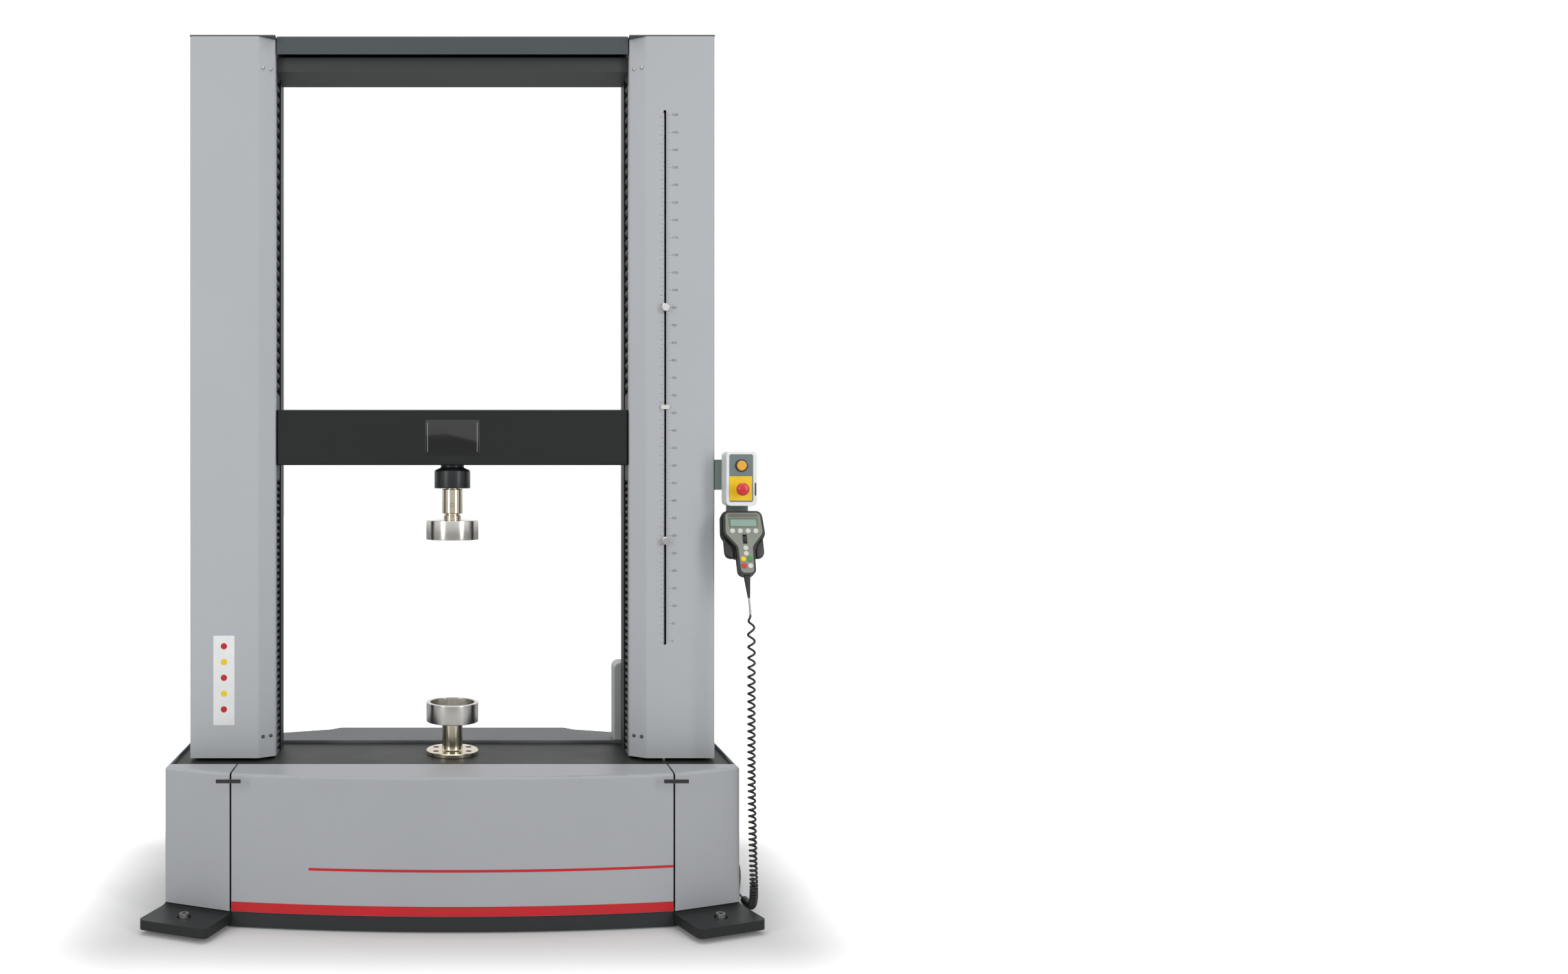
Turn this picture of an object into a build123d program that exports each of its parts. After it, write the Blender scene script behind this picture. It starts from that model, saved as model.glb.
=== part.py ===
from build123d import *
from math import cos, pi, radians, sin, tan
import os

# Two-column floor-standing testing machine, in millimetres.
# The origin is on the floor, midway between the four floor anchors and under the loading axis.
# +X is to the operator's right, +Y to the rear, +Z up. The operator stands at -Y.

os.makedirs("parts", exist_ok=True)

# Clearances and small bevels
SEAT_GAP = 0.3          # between a moving piece and the piece it rests beside
RUNNING_FIT = 0.05      # radial, shaft in bush
PRESS_PLAY = 0.02       # radial, between pieces that are fastened together
EDGE = 2.0              # bevel on large turned and machined pieces
FINE_EDGE = 1.0         # bevel on small ones
SHEET = 3.0             # folded covers

# Main levels
TABLE_TOP = 408.0
TABLE_THICK = 60.0
COLUMN_TALL = 1983.0    # from the table to the beam
HEAD_LIFT = 844.0       # from the table to the crosshead's underside
UNDER_TABLE = TABLE_TOP - TABLE_THICK
BEAM_BOTTOM = TABLE_TOP + COLUMN_TALL
HEAD_BOTTOM = TABLE_TOP + HEAD_LIFT

# Base covers, seen from above: an arc between two seams, then a facet to each corner
COVER_BOTTOM = 46.5
COVER_LIP = 10.0        # how far the front cover stands above the table
COVER_TOP = TABLE_TOP + COVER_LIP
REAR_COVER_TOP = TABLE_TOP - SHEET
COVER_STEP_Y = 154.0
ARC_Y = 328.0
CORNER_X = 793.0
FACET_WIDE = 194.0
SEAM_X = CORNER_X - FACET_WIDE
SEAM_Y = 285.0
CORNER_Y = 212.0
CORNER_BEND = 14.0
COVER_BEND = 8.0
SEAM_GAP = 5.0
COVER_RETURN = 18.0

# Table and the frame under it
TABLE_SIDE = 11.0       # from the covers' side to the table's end
TABLE_X = CORNER_X - TABLE_SIDE
TABLE_FRONT_Y = 174.7
TABLE_STEP = 4.0        # from the table's rear edge to the covers' step
TABLE_REAR_Y = COVER_STEP_Y - TABLE_STEP
OPENING_GAP = 3.3       # round the table, in the covers' top
PLINTH_BOTTOM = 4.0
PLINTH_INSET = 6.0
PLINTH_WIDTH = 54.0
POST_SIDE = 173.0       # from the covers' side to the post's axis
POST_X = CORNER_X - POST_SIDE
POST_Y = 135.0
POST_SIZE = 70.0
RAIL_Y = 150.0
RAIL_SIZE = 40.0
RAIL_PAST_POST = 80.0
RAIL_X = POST_X + RAIL_PAST_POST

# Dark panel behind the table
PANEL_FRONT_Y = 127.0
PANEL_MARGIN = 12.0     # from its rear edge to the rear cover
PANEL_REAR_Y = ARC_Y - PANEL_MARGIN
PANEL_KNEE = (CORNER_X - 408.0, 287.0)
PANEL_FLAT_X = PANEL_KNEE[0] - 30.0
PANEL_WALL = 2.5
PANEL_BEND = 4.0
PANEL_LAP = 15.0        # on the rear cover's rim

# Floor feet and levelling screws; each anchor stands before the middle of its facet
ANCHOR_OUT = 65.0
ANCHOR_HOLE_R = 6.5
FOOT_DROP = 6.5         # from the covers' lower edge to the foot's top
FOOT_THICK = 26.0
FOOT_TOP = COVER_BOTTOM - FOOT_DROP
FOOT_BOTTOM = FOOT_TOP - FOOT_THICK
FOOT_REACH = 126.0
FOOT_CORNER = 15.0
FOOT_WELD = 22.0
FOOT_WELD_SAG = (0.35, 0.3)
SCREW_R = 13.0
SCREW_HEX_R = 14.0
SCREW_RECESS_R = 18.0
SCREW_RECESS_DEPTH = 6.0
SCREW_HEAD = 10.0
PAD_R = 25.0
PAD_THICK = 8.0

# Columns, right-hand one; the left one is its mirror image
COLUMN_SIDE = 45.0      # from the covers' side to the column's
COLUMN_WIDE = 240.0
COLUMN_OUT_X = CORNER_X - COLUMN_SIDE
COLUMN_IN_X = COLUMN_OUT_X - COLUMN_WIDE
COLUMN_FRONT_Y = 98.0
COLUMN_REAR_Y = 103.0
COLUMN_SHEET = 2.5
COLUMN_FOOT_GAP = 8.0
COLUMN_BOTTOM = TABLE_TOP + COLUMN_FOOT_GAP
CHAMFER_WIDE = 45.0
CHAMFER_X = COLUMN_IN_X + CHAMFER_WIDE
CHAMFER_Y = 68.0
SLOT_FRONT_Y = 51.0
SLOT_REAR_Y = 43.0
COLUMN_BEND = 6.0
REAR_STEEL = 6.0

# Guides, screws and their drive
GUIDE_IN = 48.0         # from the column's inner face
GUIDE_X = COLUMN_IN_X + GUIDE_IN
GUIDE_R = 25.0
GUIDE_CLEAR = 2.0
SCREW_IN = 152.0
SCREW_X = COLUMN_IN_X + SCREW_IN
BALL_SCREW_R = 16.0
DRIVE_Y = -4.0
SCREW_END_GAP = 6.0
TABLE_BORE_R = 22.0
BEARING_R = 40.0
BEARING_TALL = 30.0
PULLEY_R = 40.0
PULLEY_RIM_R = 45.0
PULLEY_RIM = 2.5
PULLEY_BOTTOM = 92.0
PULLEY_TALL = 36.0
PULLEY_TOP = PULLEY_BOTTOM + PULLEY_TALL
BELT_THICK = 3.5
MOTOR_Y = 40.0
MOTOR_R = 70.0
MOTOR_LIFT = 22.0       # from its pulley to its underside
MOTOR_BOTTOM = PULLEY_TOP + MOTOR_LIFT
MOTOR_EDGE = 6.0
MOTOR_PLATE = 12.0
MOTOR_PLATE_HALF = 85.0
MOTOR_SHAFT_R = 10.0

# Top beam and its cap
BEAM_TALL = 41.5
BEAM_FRONT_Y = 40.0
BEAM_END_FRONT_Y = 88.0
BEAM_END_IN = 52.0      # from the column's inner face to where the beam widens
BEAM_END_X = COLUMN_IN_X + BEAM_END_IN
BEAM_SIDE = 6.0         # from the column cover's side to the beam's end
BEAM_X = COLUMN_OUT_X - BEAM_SIDE
HOOD_TALL = 52.5
HOOD_PROUD = 11.0       # above the columns
CAP_TOP = BEAM_BOTTOM + BEAM_TALL + HOOD_TALL
COLUMN_TOP = CAP_TOP - HOOD_PROUD
CAP_X = COLUMN_IN_X - 3.0
CAP_FRONT_Y = 70.0
CAP_PLATE = 4.0
CAP_BEND = 5.0

# Crosshead
HEAD_X = COLUMN_IN_X - 4.0
HEAD_FRONT_Y = 62.0
HEAD_REAR_Y = 60.0
HEAD_TALL = 159.0
HEAD_TOP = HEAD_BOTTOM + HEAD_TALL
HEAD_EDGE = 3.0
TONGUE_END = 40.0       # past the screw's axis
TONGUE_X = SCREW_X + TONGUE_END
TONGUE_FRONT_Y = 46.0
TONGUE_REAR_Y = 38.0
BUSH_HALF_Y = 38.0
BUSH_IN = 46.0
BUSH_OUT = 36.0
BUSH_TALL = 43.0
NUT_R = 28.0
NUT_FLANGE_R = 37.0
NUT_FLANGE = 13.0
NUT_LONG = 110.0

# Load cell, adapters and compression platens, on the loading axis
CELL_DROP = 68.0        # from the crosshead to the cell's underside
CELL_BOTTOM = HEAD_BOTTOM - CELL_DROP
CELL_R = 52.5
CELL_TALL = 60.0
CELL_EDGE = 8.0
CELL_NECK_R = 34.0
STEM_R = 30.0
STEM_LONG = 72.0
COLLAR_R = 25.5
COLLAR_LONG = 14.0
NECK_R = 22.0
NECK_LONG = 2.0
PLATEN_R = 76.5
PLATEN_TALL = 56.0
PLATEN_WALL = 12.0
PLATEN_FLOOR = 16.0
PLATEN_EDGE = 2.5
ADAPTER_LONG = 93.5     # from the cell to the upper platen
BASE_STEM_LONG = 95.0   # from the table to the lower platen
LOWER_PLATEN_Z = TABLE_TOP + BASE_STEM_LONG
UPPER_PLATEN_Z = CELL_BOTTOM - ADAPTER_LONG - PLATEN_TALL
PIN_R = 6.0
PIN_RECESS = 2.0
LOWER_PIN_Z = TABLE_TOP + 46.0
UPPER_PIN_Z = CELL_BOTTOM - 48.5
FLANGE_R = 76.0
FLANGE_TALL = 12.0
FLANGE_HOLE_RING = 55.0
FLANGE_HOLE_R = 5.5
FLANGE_SINK_R = 9.0
FLANGE_SINK = 6.0
FLANGE_HOLES = 6
FLANGE_EDGE = 1.5
FLANGE_FILLET = 5.0

# Travel stops and pointer in the right column's scale slot
SCALE_IN = 97.7         # from the column's inner face
SCALE_X = COLUMN_IN_X + SCALE_IN
SLOT_WIDTH = 8.0
SLOT_START = 331.0      # above the table
SLOT_END = 127.0        # under the beam
SLOT_Z = (TABLE_TOP + SLOT_START, BEAM_BOTTOM - SLOT_END)
ROD_Y = 78.0
ROD_R = 6.0
STOP_SIZE = 24.0
STOP_TALL = 20.0
STOP_STEM = 6.0
STOP_KNOB_R = 11.0
STOP_KNOB_LONG = 17.0
STOP_ABOVE_HEAD = 289.0
STOP_UNDER_HEAD = 216.0
UPPER_STOP_Z = HEAD_TOP + STOP_ABOVE_HEAD
LOWER_STOP_Z = HEAD_BOTTOM - STOP_UNDER_HEAD
POINTER_PLATE = 5.0
POINTER_WIDTH = 16.0
POINTER_SEAT = 20.0     # on the tongue
POINTER_HEAD = (24.0, 4.0, 12.0)
POINTER_STANDOFF = 3.0

# Pleated screens in the column slots
PLEAT_IN = 2.0          # from the column's inner face
PLEAT_DEEP = 9.0
PLEAT_THICK = 1.5
PLEAT_PITCH_UP = 30.0
PLEAT_PITCH_DOWN = 19.0
PLEAT_SIDE_GAP = 0.5

# Emergency stop box, off the right column's front corner
BOX_OFF = 17.2
BOX_WIDE = 85.0
BOX_TALL = 152.0
BOX_DEEP = 62.0
BOX_BOTTOM = 1137.0
BOX_X = (COLUMN_OUT_X + BOX_OFF, COLUMN_OUT_X + BOX_OFF + BOX_WIDE)
BOX_Z = (BOX_BOTTOM, BOX_BOTTOM + BOX_TALL)
BOX_REAR_Y = -COLUMN_FRONT_Y - 10.0
BOX_FRONT_Y = BOX_REAR_Y - BOX_DEEP
BOX_LID = 8.0
BOX_CORNER = 13.0
BOX_WALL = 3.0
INLAY_X = (BOX_X[0] + 7.6, BOX_X[1] - 10.4)
INLAY_Z = (BOX_Z[0] + 10.5, BOX_Z[1] - 7.5)
INLAY_DEPTH = 1.0
INLAY_CORNER = 6.0
STOP_BUTTON = (BOX_X[0] + 39.6, BOX_Z[0] + 47.0)
STOP_STEM_R = 11.0
STOP_STEM_LONG = 20.0
STOP_HEAD_R = 18.0
STOP_HEAD_LONG = 17.0
STOP_HEAD_RIM = 10.0
STOP_HEAD_EDGE = 3.0
STOP_PRESS = 6.0
POWER_BUTTON = (BOX_X[0] + 41.8, BOX_Z[0] + 112.7)
POWER_R = 13.5
POWER_PROUD = 8.0

# Bracket that carries the box and the handset holder
BRACKET_Z = (BOX_Z[0] + 44.0, BOX_Z[1] - 22.0)
BRACKET_SHEET = 3.0
BRACKET_LEG_Y = -20.0
BRACKET_TONGUE_X = (BOX_X[0] + 12.8, BOX_X[0] + 74.8)
BRACKET_BEND = 3.0

# Handset, drawn flat and then leaned back; its own origin is the middle of the wheel
HANDSET_ACROSS = 47.4   # from the box's side, its back and its foot
HANDSET_OUT = 77.0
HANDSET_DOWN = 92.0
HANDSET_AT = (BOX_X[0] + HANDSET_ACROSS, BOX_REAR_Y - HANDSET_OUT, BOX_Z[0] - HANDSET_DOWN)
HANDSET_LEAN = 22.0
FACE_PROUD = 2.0
FACE_SEAT = 6.0
SHELL_BORDER = 5.5
SHELL_DEPTH = 28.0
SHELL_EDGE = 3.0
FACE_TOP = 78.0
FACE_TOP_X = 48.0
FACE_WIDE = (52.0, 18.0)
FACE_WAIST = (20.0, -22.0)
FACE_HANDLE_X = 18.0
FACE_BOTTOM = -98.0
FACE_CORNER = 11.0
FACE_BLEND = 22.0
FACE_EDGE = 0.8
DISPLAY_HALF = 37.0
DISPLAY_Z = (37.0, 58.0)
DISPLAY_DEPTH = 1.0
KEY_R = 7.2
KEY_GAP = 0.3
KEY_PROUD = 1.8
KEY_LONG = 7.0
KEY_TRAVEL = 1.5
KEY_POCKET = 1.0        # under a key that is pressed home
SOFT_KEY_Z = 23.7
SOFT_KEY_PITCH = 21.6
SOFT_KEYS = 4
KEY_PLACES = {
    "jog_up_key": (0.0, -26.2),
    "jog_down_key": (0.0, -42.3),
    "return_key": (-9.1, -58.0),
    "start_key": (9.1, -58.0),
    "stop_key": (-8.8, -78.0),
    "zero_key": (8.8, -78.0),
}
WHEEL_R = 13.0
WHEEL_WIDE = 11.0
WHEEL_DEPTH = 9.0
WHEEL_GAP = 0.6
WHEEL_RIBS = 18
WHEEL_RIB_R = 0.7
AXLE_R = 2.0
AXLE_SEAT = 2.4
HOLDER_WALL = 4.0
HOLDER_GAP = 0.4
HOLDER_RIM = 16.0
HOLDER_Z = (-50.0, 91.0)
HOLDER_WEDGE_Z = (HANDSET_AT[2] - 30.0, HANDSET_AT[2] + 70.0)
TONGUE_BOTTOM = HOLDER_WEDGE_Z[0] - 5.0
BOOT_LONG = 62.0
BOOT_TOP_R = 9.3
BOOT_TIP_R = 3.6

# Control electronics housing behind the right column
HOUSING_IN = 17.0       # it stands this much further in than the column
HOUSING_DEEP = 72.0
HOUSING_X = (COLUMN_IN_X - HOUSING_IN, COLUMN_OUT_X - HOUSING_IN)
HOUSING_FRONT_Y = PANEL_FRONT_Y + FINE_EDGE
HOUSING_Y = (HOUSING_FRONT_Y, HOUSING_FRONT_Y + HOUSING_DEEP)
HOUSING_TALL = 235.0
HOUSING_CORNER = 20.0

# Handset cord: straight lead, curl, then a straight tail to its socket.
# Its points are counted across from the side cover.
CORD_R = 3.2
CURL_R = 12.0
LEAD_POINTS = [
    (19.6, -234.04, 886.26), (19.6, -239.28, 873.28), (19.9, -243.6, 858.0), (20.4, -245.6, 842.0),
]
CURL_POINTS = [
    (20.4, -245.6, 842.0), (21.34, -249.35, 812.0), (22.4, -250.5, 775.0), (22.9, -249.5, 732.0),
    (23.1, -248.2, 684.0), (23.2, -247.6, 632.0), (23.1, -247.4, 578.0), (23.3, -247.6, 522.0),
    (23.2, -247.3, 466.0), (23.5, -247.1, 410.0), (24.2, -247.5, 355.0), (25.2, -247.6, 300.0),
    (26.4, -247.2, 246.0), (27.6, -246.4, 193.0), (29.4, -244.6, 142.0), (32.2, -237.5, 96.0),
    (36.4, -219.0, 56.0), (39.4, -188.0, 28.0), (40.0, -152.0, 15.4), (39.6, -118.0, 12.6),
    (38.6, -88.0, 12.2),
]
TAIL_POINTS = [
    (38.6, -88.0, 12.2), (37.87, -66.0, 11.91), (38.4, -43.5, 8.6), (41.0, -20.0, 4.8),
    (45.8, 3.0, 3.5), (52.2, 25.0, 5.6), (58.4, 44.5, 13.4), (62.8, 60.0, 25.6),
    (65.0, 72.0, 39.4), (64.4, 81.0, 54.0), (59.8, 86.8, 68.4), (51.5, 89.4, 79.0),
    (38.0, 90.0, 84.0), (25.0, 90.0, 84.0),
]
SOCKET_Y = 90.0
SOCKET_Z = 84.0
SOCKET_R = 13.0
SOCKET_LONG = 10.0
SOCKET_FLOOR = 3.0
PLUG_R = 9.0


def block(x, y, z):
    """A box between the two limits given for each axis."""
    place = Pos((x[0] + x[1]) / 2, (y[0] + y[1]) / 2, (z[0] + z[1]) / 2)
    return place * Box(x[1] - x[0], y[1] - y[0], z[1] - z[0])


def rod(x, y, z, radius):
    """An upright cylinder between two heights."""
    return Pos(x, y, (z[0] + z[1]) / 2) * Cylinder(radius, z[1] - z[0])


def bar_y(x, z, y, radius):
    """A cylinder along Y between two depths."""
    return Pos(x, (y[0] + y[1]) / 2, z) * Rot(90, 0, 0) * Cylinder(radius, y[1] - y[0])


def turned(profile):
    """A solid of revolution about the loading axis, from radius and height pairs."""
    outline = Polyline(*[(radius, 0, height) for radius, height in profile], close=True)
    return revolve(make_face(outline), axis=Axis.Z)


def prism(face, low, high):
    """A face in plan, raised between two heights."""
    return extrude(Pos(0, 0, low) * face, amount=high - low, dir=(0, 0, 1))


def both_sides(shape):
    """A right-hand piece and its mirror image."""
    return Compound(children=[shape, mirror(shape, about=Plane.YZ)])


def near(shape, points, reach=1.0):
    """The vertices of a face that lie at the given plan points."""
    def close_by(vertex):
        return any((Vector(vertex.X, vertex.Y) - Vector(*p)).length < reach for p in points)

    return [vertex for vertex in shape.vertices() if close_by(vertex)]


def base_outline():
    """The covers' outline in plan, with bent corners."""
    front = ThreePointArc((-SEAM_X, -SEAM_Y), (0, -ARC_Y), (SEAM_X, -SEAM_Y))
    right = Polyline((SEAM_X, -SEAM_Y), (CORNER_X, -CORNER_Y), (CORNER_X, CORNER_Y), (SEAM_X, SEAM_Y))
    rear = ThreePointArc((SEAM_X, SEAM_Y), (0, ARC_Y), (-SEAM_X, SEAM_Y))
    left = Polyline((-SEAM_X, SEAM_Y), (-CORNER_X, CORNER_Y), (-CORNER_X, -CORNER_Y), (-SEAM_X, -SEAM_Y))
    face = make_face([front, right, rear, left])
    corners = [(x, y) for x in (-CORNER_X, CORNER_X) for y in (-CORNER_Y, CORNER_Y)]
    return fillet(near(face, corners), CORNER_BEND)


def panel_outline():
    """The dark rear panel's outline in plan."""
    half = [(PANEL_FLAT_X, PANEL_REAR_Y), PANEL_KNEE, (TABLE_X, COVER_STEP_Y), (TABLE_X, PANEL_FRONT_Y)]
    points = half + [(-x, y) for x, y in reversed(half)]
    return make_face(Polyline(*points, close=True))


def inset(face, amount):
    """A face shrunk by the same amount all round, with its corners kept."""
    return offset(face, amount=-amount, kind=Kind.INTERSECTION)


def cover_shell(top, opening):
    """Folded sheet over the whole outline: wall, top strip and a return at the foot."""
    outline = base_outline()
    outer = prism(outline, COVER_BOTTOM, top)
    outer = fillet(outer.faces().sort_by(Axis.Z)[-1].edges(), COVER_BEND)
    hollow = prism(inset(outline, SHEET), COVER_BOTTOM + SHEET, top - SHEET)
    hollow = fillet(hollow.faces().sort_by(Axis.Z)[-1].edges(), COVER_BEND - SHEET)
    foot = prism(inset(outline, COVER_RETURN), COVER_BOTTOM, COVER_BOTTOM + SHEET)
    return outer - hollow - foot - opening


def base_shell():
    """The covers before their seams are cut, with the lower rear part."""
    far = 2 * CORNER_X
    opening_x = TABLE_X + OPENING_GAP
    opening_y = (-TABLE_FRONT_Y - OPENING_GAP, far)
    table_opening = block((-opening_x, opening_x), opening_y, (COVER_TOP - 2 * SHEET, COVER_TOP))
    front = cover_shell(COVER_TOP, table_opening) & block((-far, far), (-far, COVER_STEP_Y), (0, COVER_TOP))
    panel_opening = prism(inset(panel_outline(), PANEL_LAP), REAR_COVER_TOP - 2 * SHEET, REAR_COVER_TOP)
    rear_half = block((-far, far), (COVER_STEP_Y, far), (0, COVER_TOP))
    rear = cover_shell(REAR_COVER_TOP, panel_opening) & rear_half
    return front + rear


def base_covers():
    """Front, rear, left and right covers, cut apart at the seams."""
    shell = base_shell()
    far = 2 * CORNER_X
    middle = SEAM_X - SEAM_GAP / 2
    heights = (0, COVER_TOP)
    front = shell & block((-middle, middle), (-far, 0), heights)
    rear = shell & block((-middle, middle), (0, far), heights)
    right = shell & block((SEAM_X + SEAM_GAP / 2, far), (-far, far), heights)
    return front, rear, mirror(right, about=Plane.YZ), right


def rear_top_panel():
    """Shallow pan that lies on the table's rear edge."""
    outline = panel_outline()
    pan = prism(outline, TABLE_TOP, COVER_TOP)
    pan = fillet(pan.faces().sort_by(Axis.Z)[-1].edges(), PANEL_BEND)
    return pan - prism(inset(outline, PANEL_WALL), TABLE_TOP, COVER_TOP - PANEL_WALL)


def cut_across(ring):
    """The plinth ring's bars, cut where its outline bends."""
    far = 2 * CORNER_X
    heights = (0, COVER_BOTTOM)
    bars = []
    for x in ((-far, -SEAM_X), (-SEAM_X, 0), (0, SEAM_X), (SEAM_X, far)):
        for y in ((-far, 0), (0, far)):
            bars += (ring & block(x, y, heights)).solids()
    return bars


def rails():
    """Two rails under the table, let into the posts."""
    z = (UNDER_TABLE - RAIL_SIZE, UNDER_TABLE)
    half = RAIL_SIZE / 2
    return Compound(children=[block((-RAIL_X, RAIL_X), (y - half, y + half), z) for y in (-RAIL_Y, RAIL_Y)])


def base_frame():
    """Plinth ring, ties, posts and rails, welded bar to bar under the table."""
    outline = inset(base_outline(), PLINTH_INSET)
    plinth_z = (PLINTH_BOTTOM, COVER_BOTTOM)
    inner = inset(outline, PLINTH_WIDTH)
    bars = cut_across(prism(outline, *plinth_z) - prism(inner, 0, COVER_BOTTOM))
    half = POST_SIZE / 2
    for x in (-POST_X, POST_X):
        tie = block((x - half, x + half), (-ARC_Y, ARC_Y), plinth_z) & prism(inner, *plinth_z)
        bars.append(tie)
        for y in (-POST_Y, POST_Y):
            post = block((x - half, x + half), (y - half, y + half), (COVER_BOTTOM, UNDER_TABLE))
            bars.append(post - rails())
    return Compound(children=bars + rails().solids())


def facet_directions():
    """Along the front right facet, and straight out of it."""
    run = Vector(CORNER_X - SEAM_X, SEAM_Y - CORNER_Y).normalized()
    return run, Vector(run.Y, -run.X)


def anchor():
    """The front right anchor's place in plan."""
    out = facet_directions()[1]
    middle = Vector((SEAM_X + CORNER_X) / 2, -(SEAM_Y + CORNER_Y) / 2)
    place = middle + out * ANCHOR_OUT
    return place.X, place.Y


def foot_outline():
    """The front right foot in plan: it stands out from the corner facet."""
    out = facet_directions()[1]
    near_corner = Vector(CORNER_X, -CORNER_Y) - out * PLINTH_INSET
    near_seam = Vector(SEAM_X, -SEAM_Y) - out * PLINTH_INSET
    reach = out * (FOOT_REACH + PLINTH_INSET)
    return near_corner, near_corner + reach, near_seam + reach, near_seam


def foot():
    """The front right foot: plate, hollow weld against the plinth, and the screw's hole."""
    corners = foot_outline()
    face = make_face(Polyline(*corners, close=True))
    face = fillet(near(face, [(c.X, c.Y) for c in corners[1:3]]), FOOT_CORNER)
    plate = prism(face, FOOT_BOTTOM, FOOT_TOP)
    run, out = facet_directions()
    crest_z = COVER_BOTTOM - SEAT_GAP

    def weld_point(reach, height):
        return corners[3] + out * reach + Vector(0, 0, height)

    crest = weld_point(0, crest_z)
    toe = weld_point(FOOT_WELD, FOOT_TOP)
    sag_out, sag_up = FOOT_WELD_SAG
    sag = weld_point(FOOT_WELD * sag_out, FOOT_TOP + (crest_z - FOOT_TOP) * sag_up)
    under = Polyline(toe, weld_point(FOOT_WELD, FOOT_BOTTOM), weld_point(0, FOOT_BOTTOM), crest)
    weld_face = make_face([ThreePointArc(crest, sag, toe), under])
    rib = extrude(weld_face, amount=(corners[0] - corners[3]).length, dir=run)
    recess = rod(*anchor(), (FOOT_TOP - SCREW_RECESS_DEPTH, FOOT_TOP), SCREW_RECESS_R)
    hole = rod(*anchor(), (FOOT_BOTTOM, FOOT_TOP), SCREW_R + PRESS_PLAY)
    return plate + rib - recess - hole


def at_four_corners(shape):
    """A front right piece and its three mirror images."""
    right = [shape, mirror(shape, about=Plane.XZ)]
    return Compound(children=right + [mirror(s, about=Plane.YZ) for s in right])


def levelling_screw():
    """Hollow screw with a floor pad; an anchor bolt goes through it."""
    top = FOOT_TOP + SCREW_HEAD
    floor_pad = rod(*anchor(), (0, PAD_THICK), PAD_R)
    floor_pad = chamfer(floor_pad.edges().group_by(Axis.Z)[-1], EDGE)
    shank = rod(*anchor(), (PAD_THICK, FOOT_TOP), SCREW_R)
    hexagon = prism(Pos(*anchor()) * RegularPolygon(SCREW_HEX_R, 6), FOOT_TOP, top)
    head = hexagon & rod(*anchor(), (FOOT_TOP, top), SCREW_R)
    return shank + floor_pad + head - rod(*anchor(), (0, top), ANCHOR_HOLE_R)


def table_plate():
    """Thick table with bores for the ball screws."""
    z = (UNDER_TABLE, TABLE_TOP)
    table = block((-TABLE_X, TABLE_X), (-TABLE_FRONT_Y, TABLE_REAR_Y), z)
    for x in (-SCREW_X, SCREW_X):
        table -= rod(x, DRIVE_Y, z, TABLE_BORE_R)
    return chamfer(table.faces().sort_by(Axis.Z)[-1].edges().filter_by(Axis.X), EDGE)


def column_cover():
    """The right column's folded cover: side, front, chamfer and the return into the slot."""
    points = [
        (COLUMN_OUT_X, COLUMN_REAR_Y), (COLUMN_OUT_X, -COLUMN_FRONT_Y), (CHAMFER_X, -COLUMN_FRONT_Y),
        (COLUMN_IN_X, -CHAMFER_Y), (COLUMN_IN_X, -SLOT_FRONT_Y),
    ]
    bend = FilletPolyline(*points, radius=COLUMN_BEND)
    face = make_face(offset(bend, amount=COLUMN_SHEET, side=Side.RIGHT).edges())
    return prism(face, COLUMN_BOTTOM, COLUMN_TOP)


def scale_slot():
    """The slot in which the stops and the pointer travel."""
    half = SLOT_WIDTH / 2
    wall = (-COLUMN_FRONT_Y, -COLUMN_FRONT_Y + COLUMN_SHEET)
    slot = block((SCALE_X - half, SCALE_X + half), wall, (SLOT_Z[0] + half, SLOT_Z[1] - half))
    for z in (SLOT_Z[0] + half, SLOT_Z[1] - half):
        slot += bar_y(SCALE_X, z, wall, half)
    return slot


def rear_column():
    """The right column's black steel channel, from the table to the beam."""
    z = (TABLE_TOP, BEAM_BOTTOM)
    outer_x = COLUMN_OUT_X - COLUMN_SHEET - SEAT_GAP
    back = block((COLUMN_IN_X, outer_x), (COLUMN_REAR_Y - REAR_STEEL, COLUMN_REAR_Y), z)
    inner = block((COLUMN_IN_X, COLUMN_IN_X + REAR_STEEL), (SLOT_REAR_Y, COLUMN_REAR_Y), z)
    outer = block((outer_x - REAR_STEEL, outer_x), (0, COLUMN_REAR_Y), z)
    return back + inner + outer


def top_beam():
    """The beam that ties the columns, wider inside their covers."""
    z = (BEAM_BOTTOM, BEAM_BOTTOM + BEAM_TALL)
    beam = block((-BEAM_X, BEAM_X), (-BEAM_FRONT_Y, COLUMN_REAR_Y), z)
    for side in (-1, 1):
        ends = sorted((side * BEAM_END_X, side * BEAM_X))
        beam += block(ends, (-BEAM_END_FRONT_Y, 0), z)
    return beam


def top_cap():
    """Hood between the columns with a plate over their covers."""
    low = BEAM_BOTTOM + BEAM_TALL
    hood = block((-CAP_X, CAP_X), (-CAP_FRONT_Y, COLUMN_REAR_Y), (low, CAP_TOP))
    hood = fillet(hood.faces().sort_by(Axis.Z)[-1].edges(), CAP_BEND)
    plate_z = (COLUMN_TOP, COLUMN_TOP + CAP_PLATE)
    plate = block((-COLUMN_OUT_X, COLUMN_OUT_X), (-COLUMN_FRONT_Y, COLUMN_REAR_Y), plate_z)
    middle = block((-CAP_X, CAP_X), (-COLUMN_FRONT_Y, -CAP_FRONT_Y), plate_z)
    inner_x = CAP_X - SHEET
    inner_y = (-CAP_FRONT_Y + SHEET, COLUMN_REAR_Y - SHEET)
    hollow = block((-inner_x, inner_x), inner_y, (low, CAP_TOP - SHEET))
    return hood + (plate - middle) - hollow


def bearing(z):
    """A ball screw's bearing housing, at the given heights, on the right."""
    housing = rod(SCREW_X, DRIVE_Y, z, BEARING_R)
    housing = chamfer(housing.edges().filter_by(GeomType.CIRCLE), EDGE)
    return housing - rod(SCREW_X, DRIVE_Y, z, BALL_SCREW_R + RUNNING_FIT)


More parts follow.
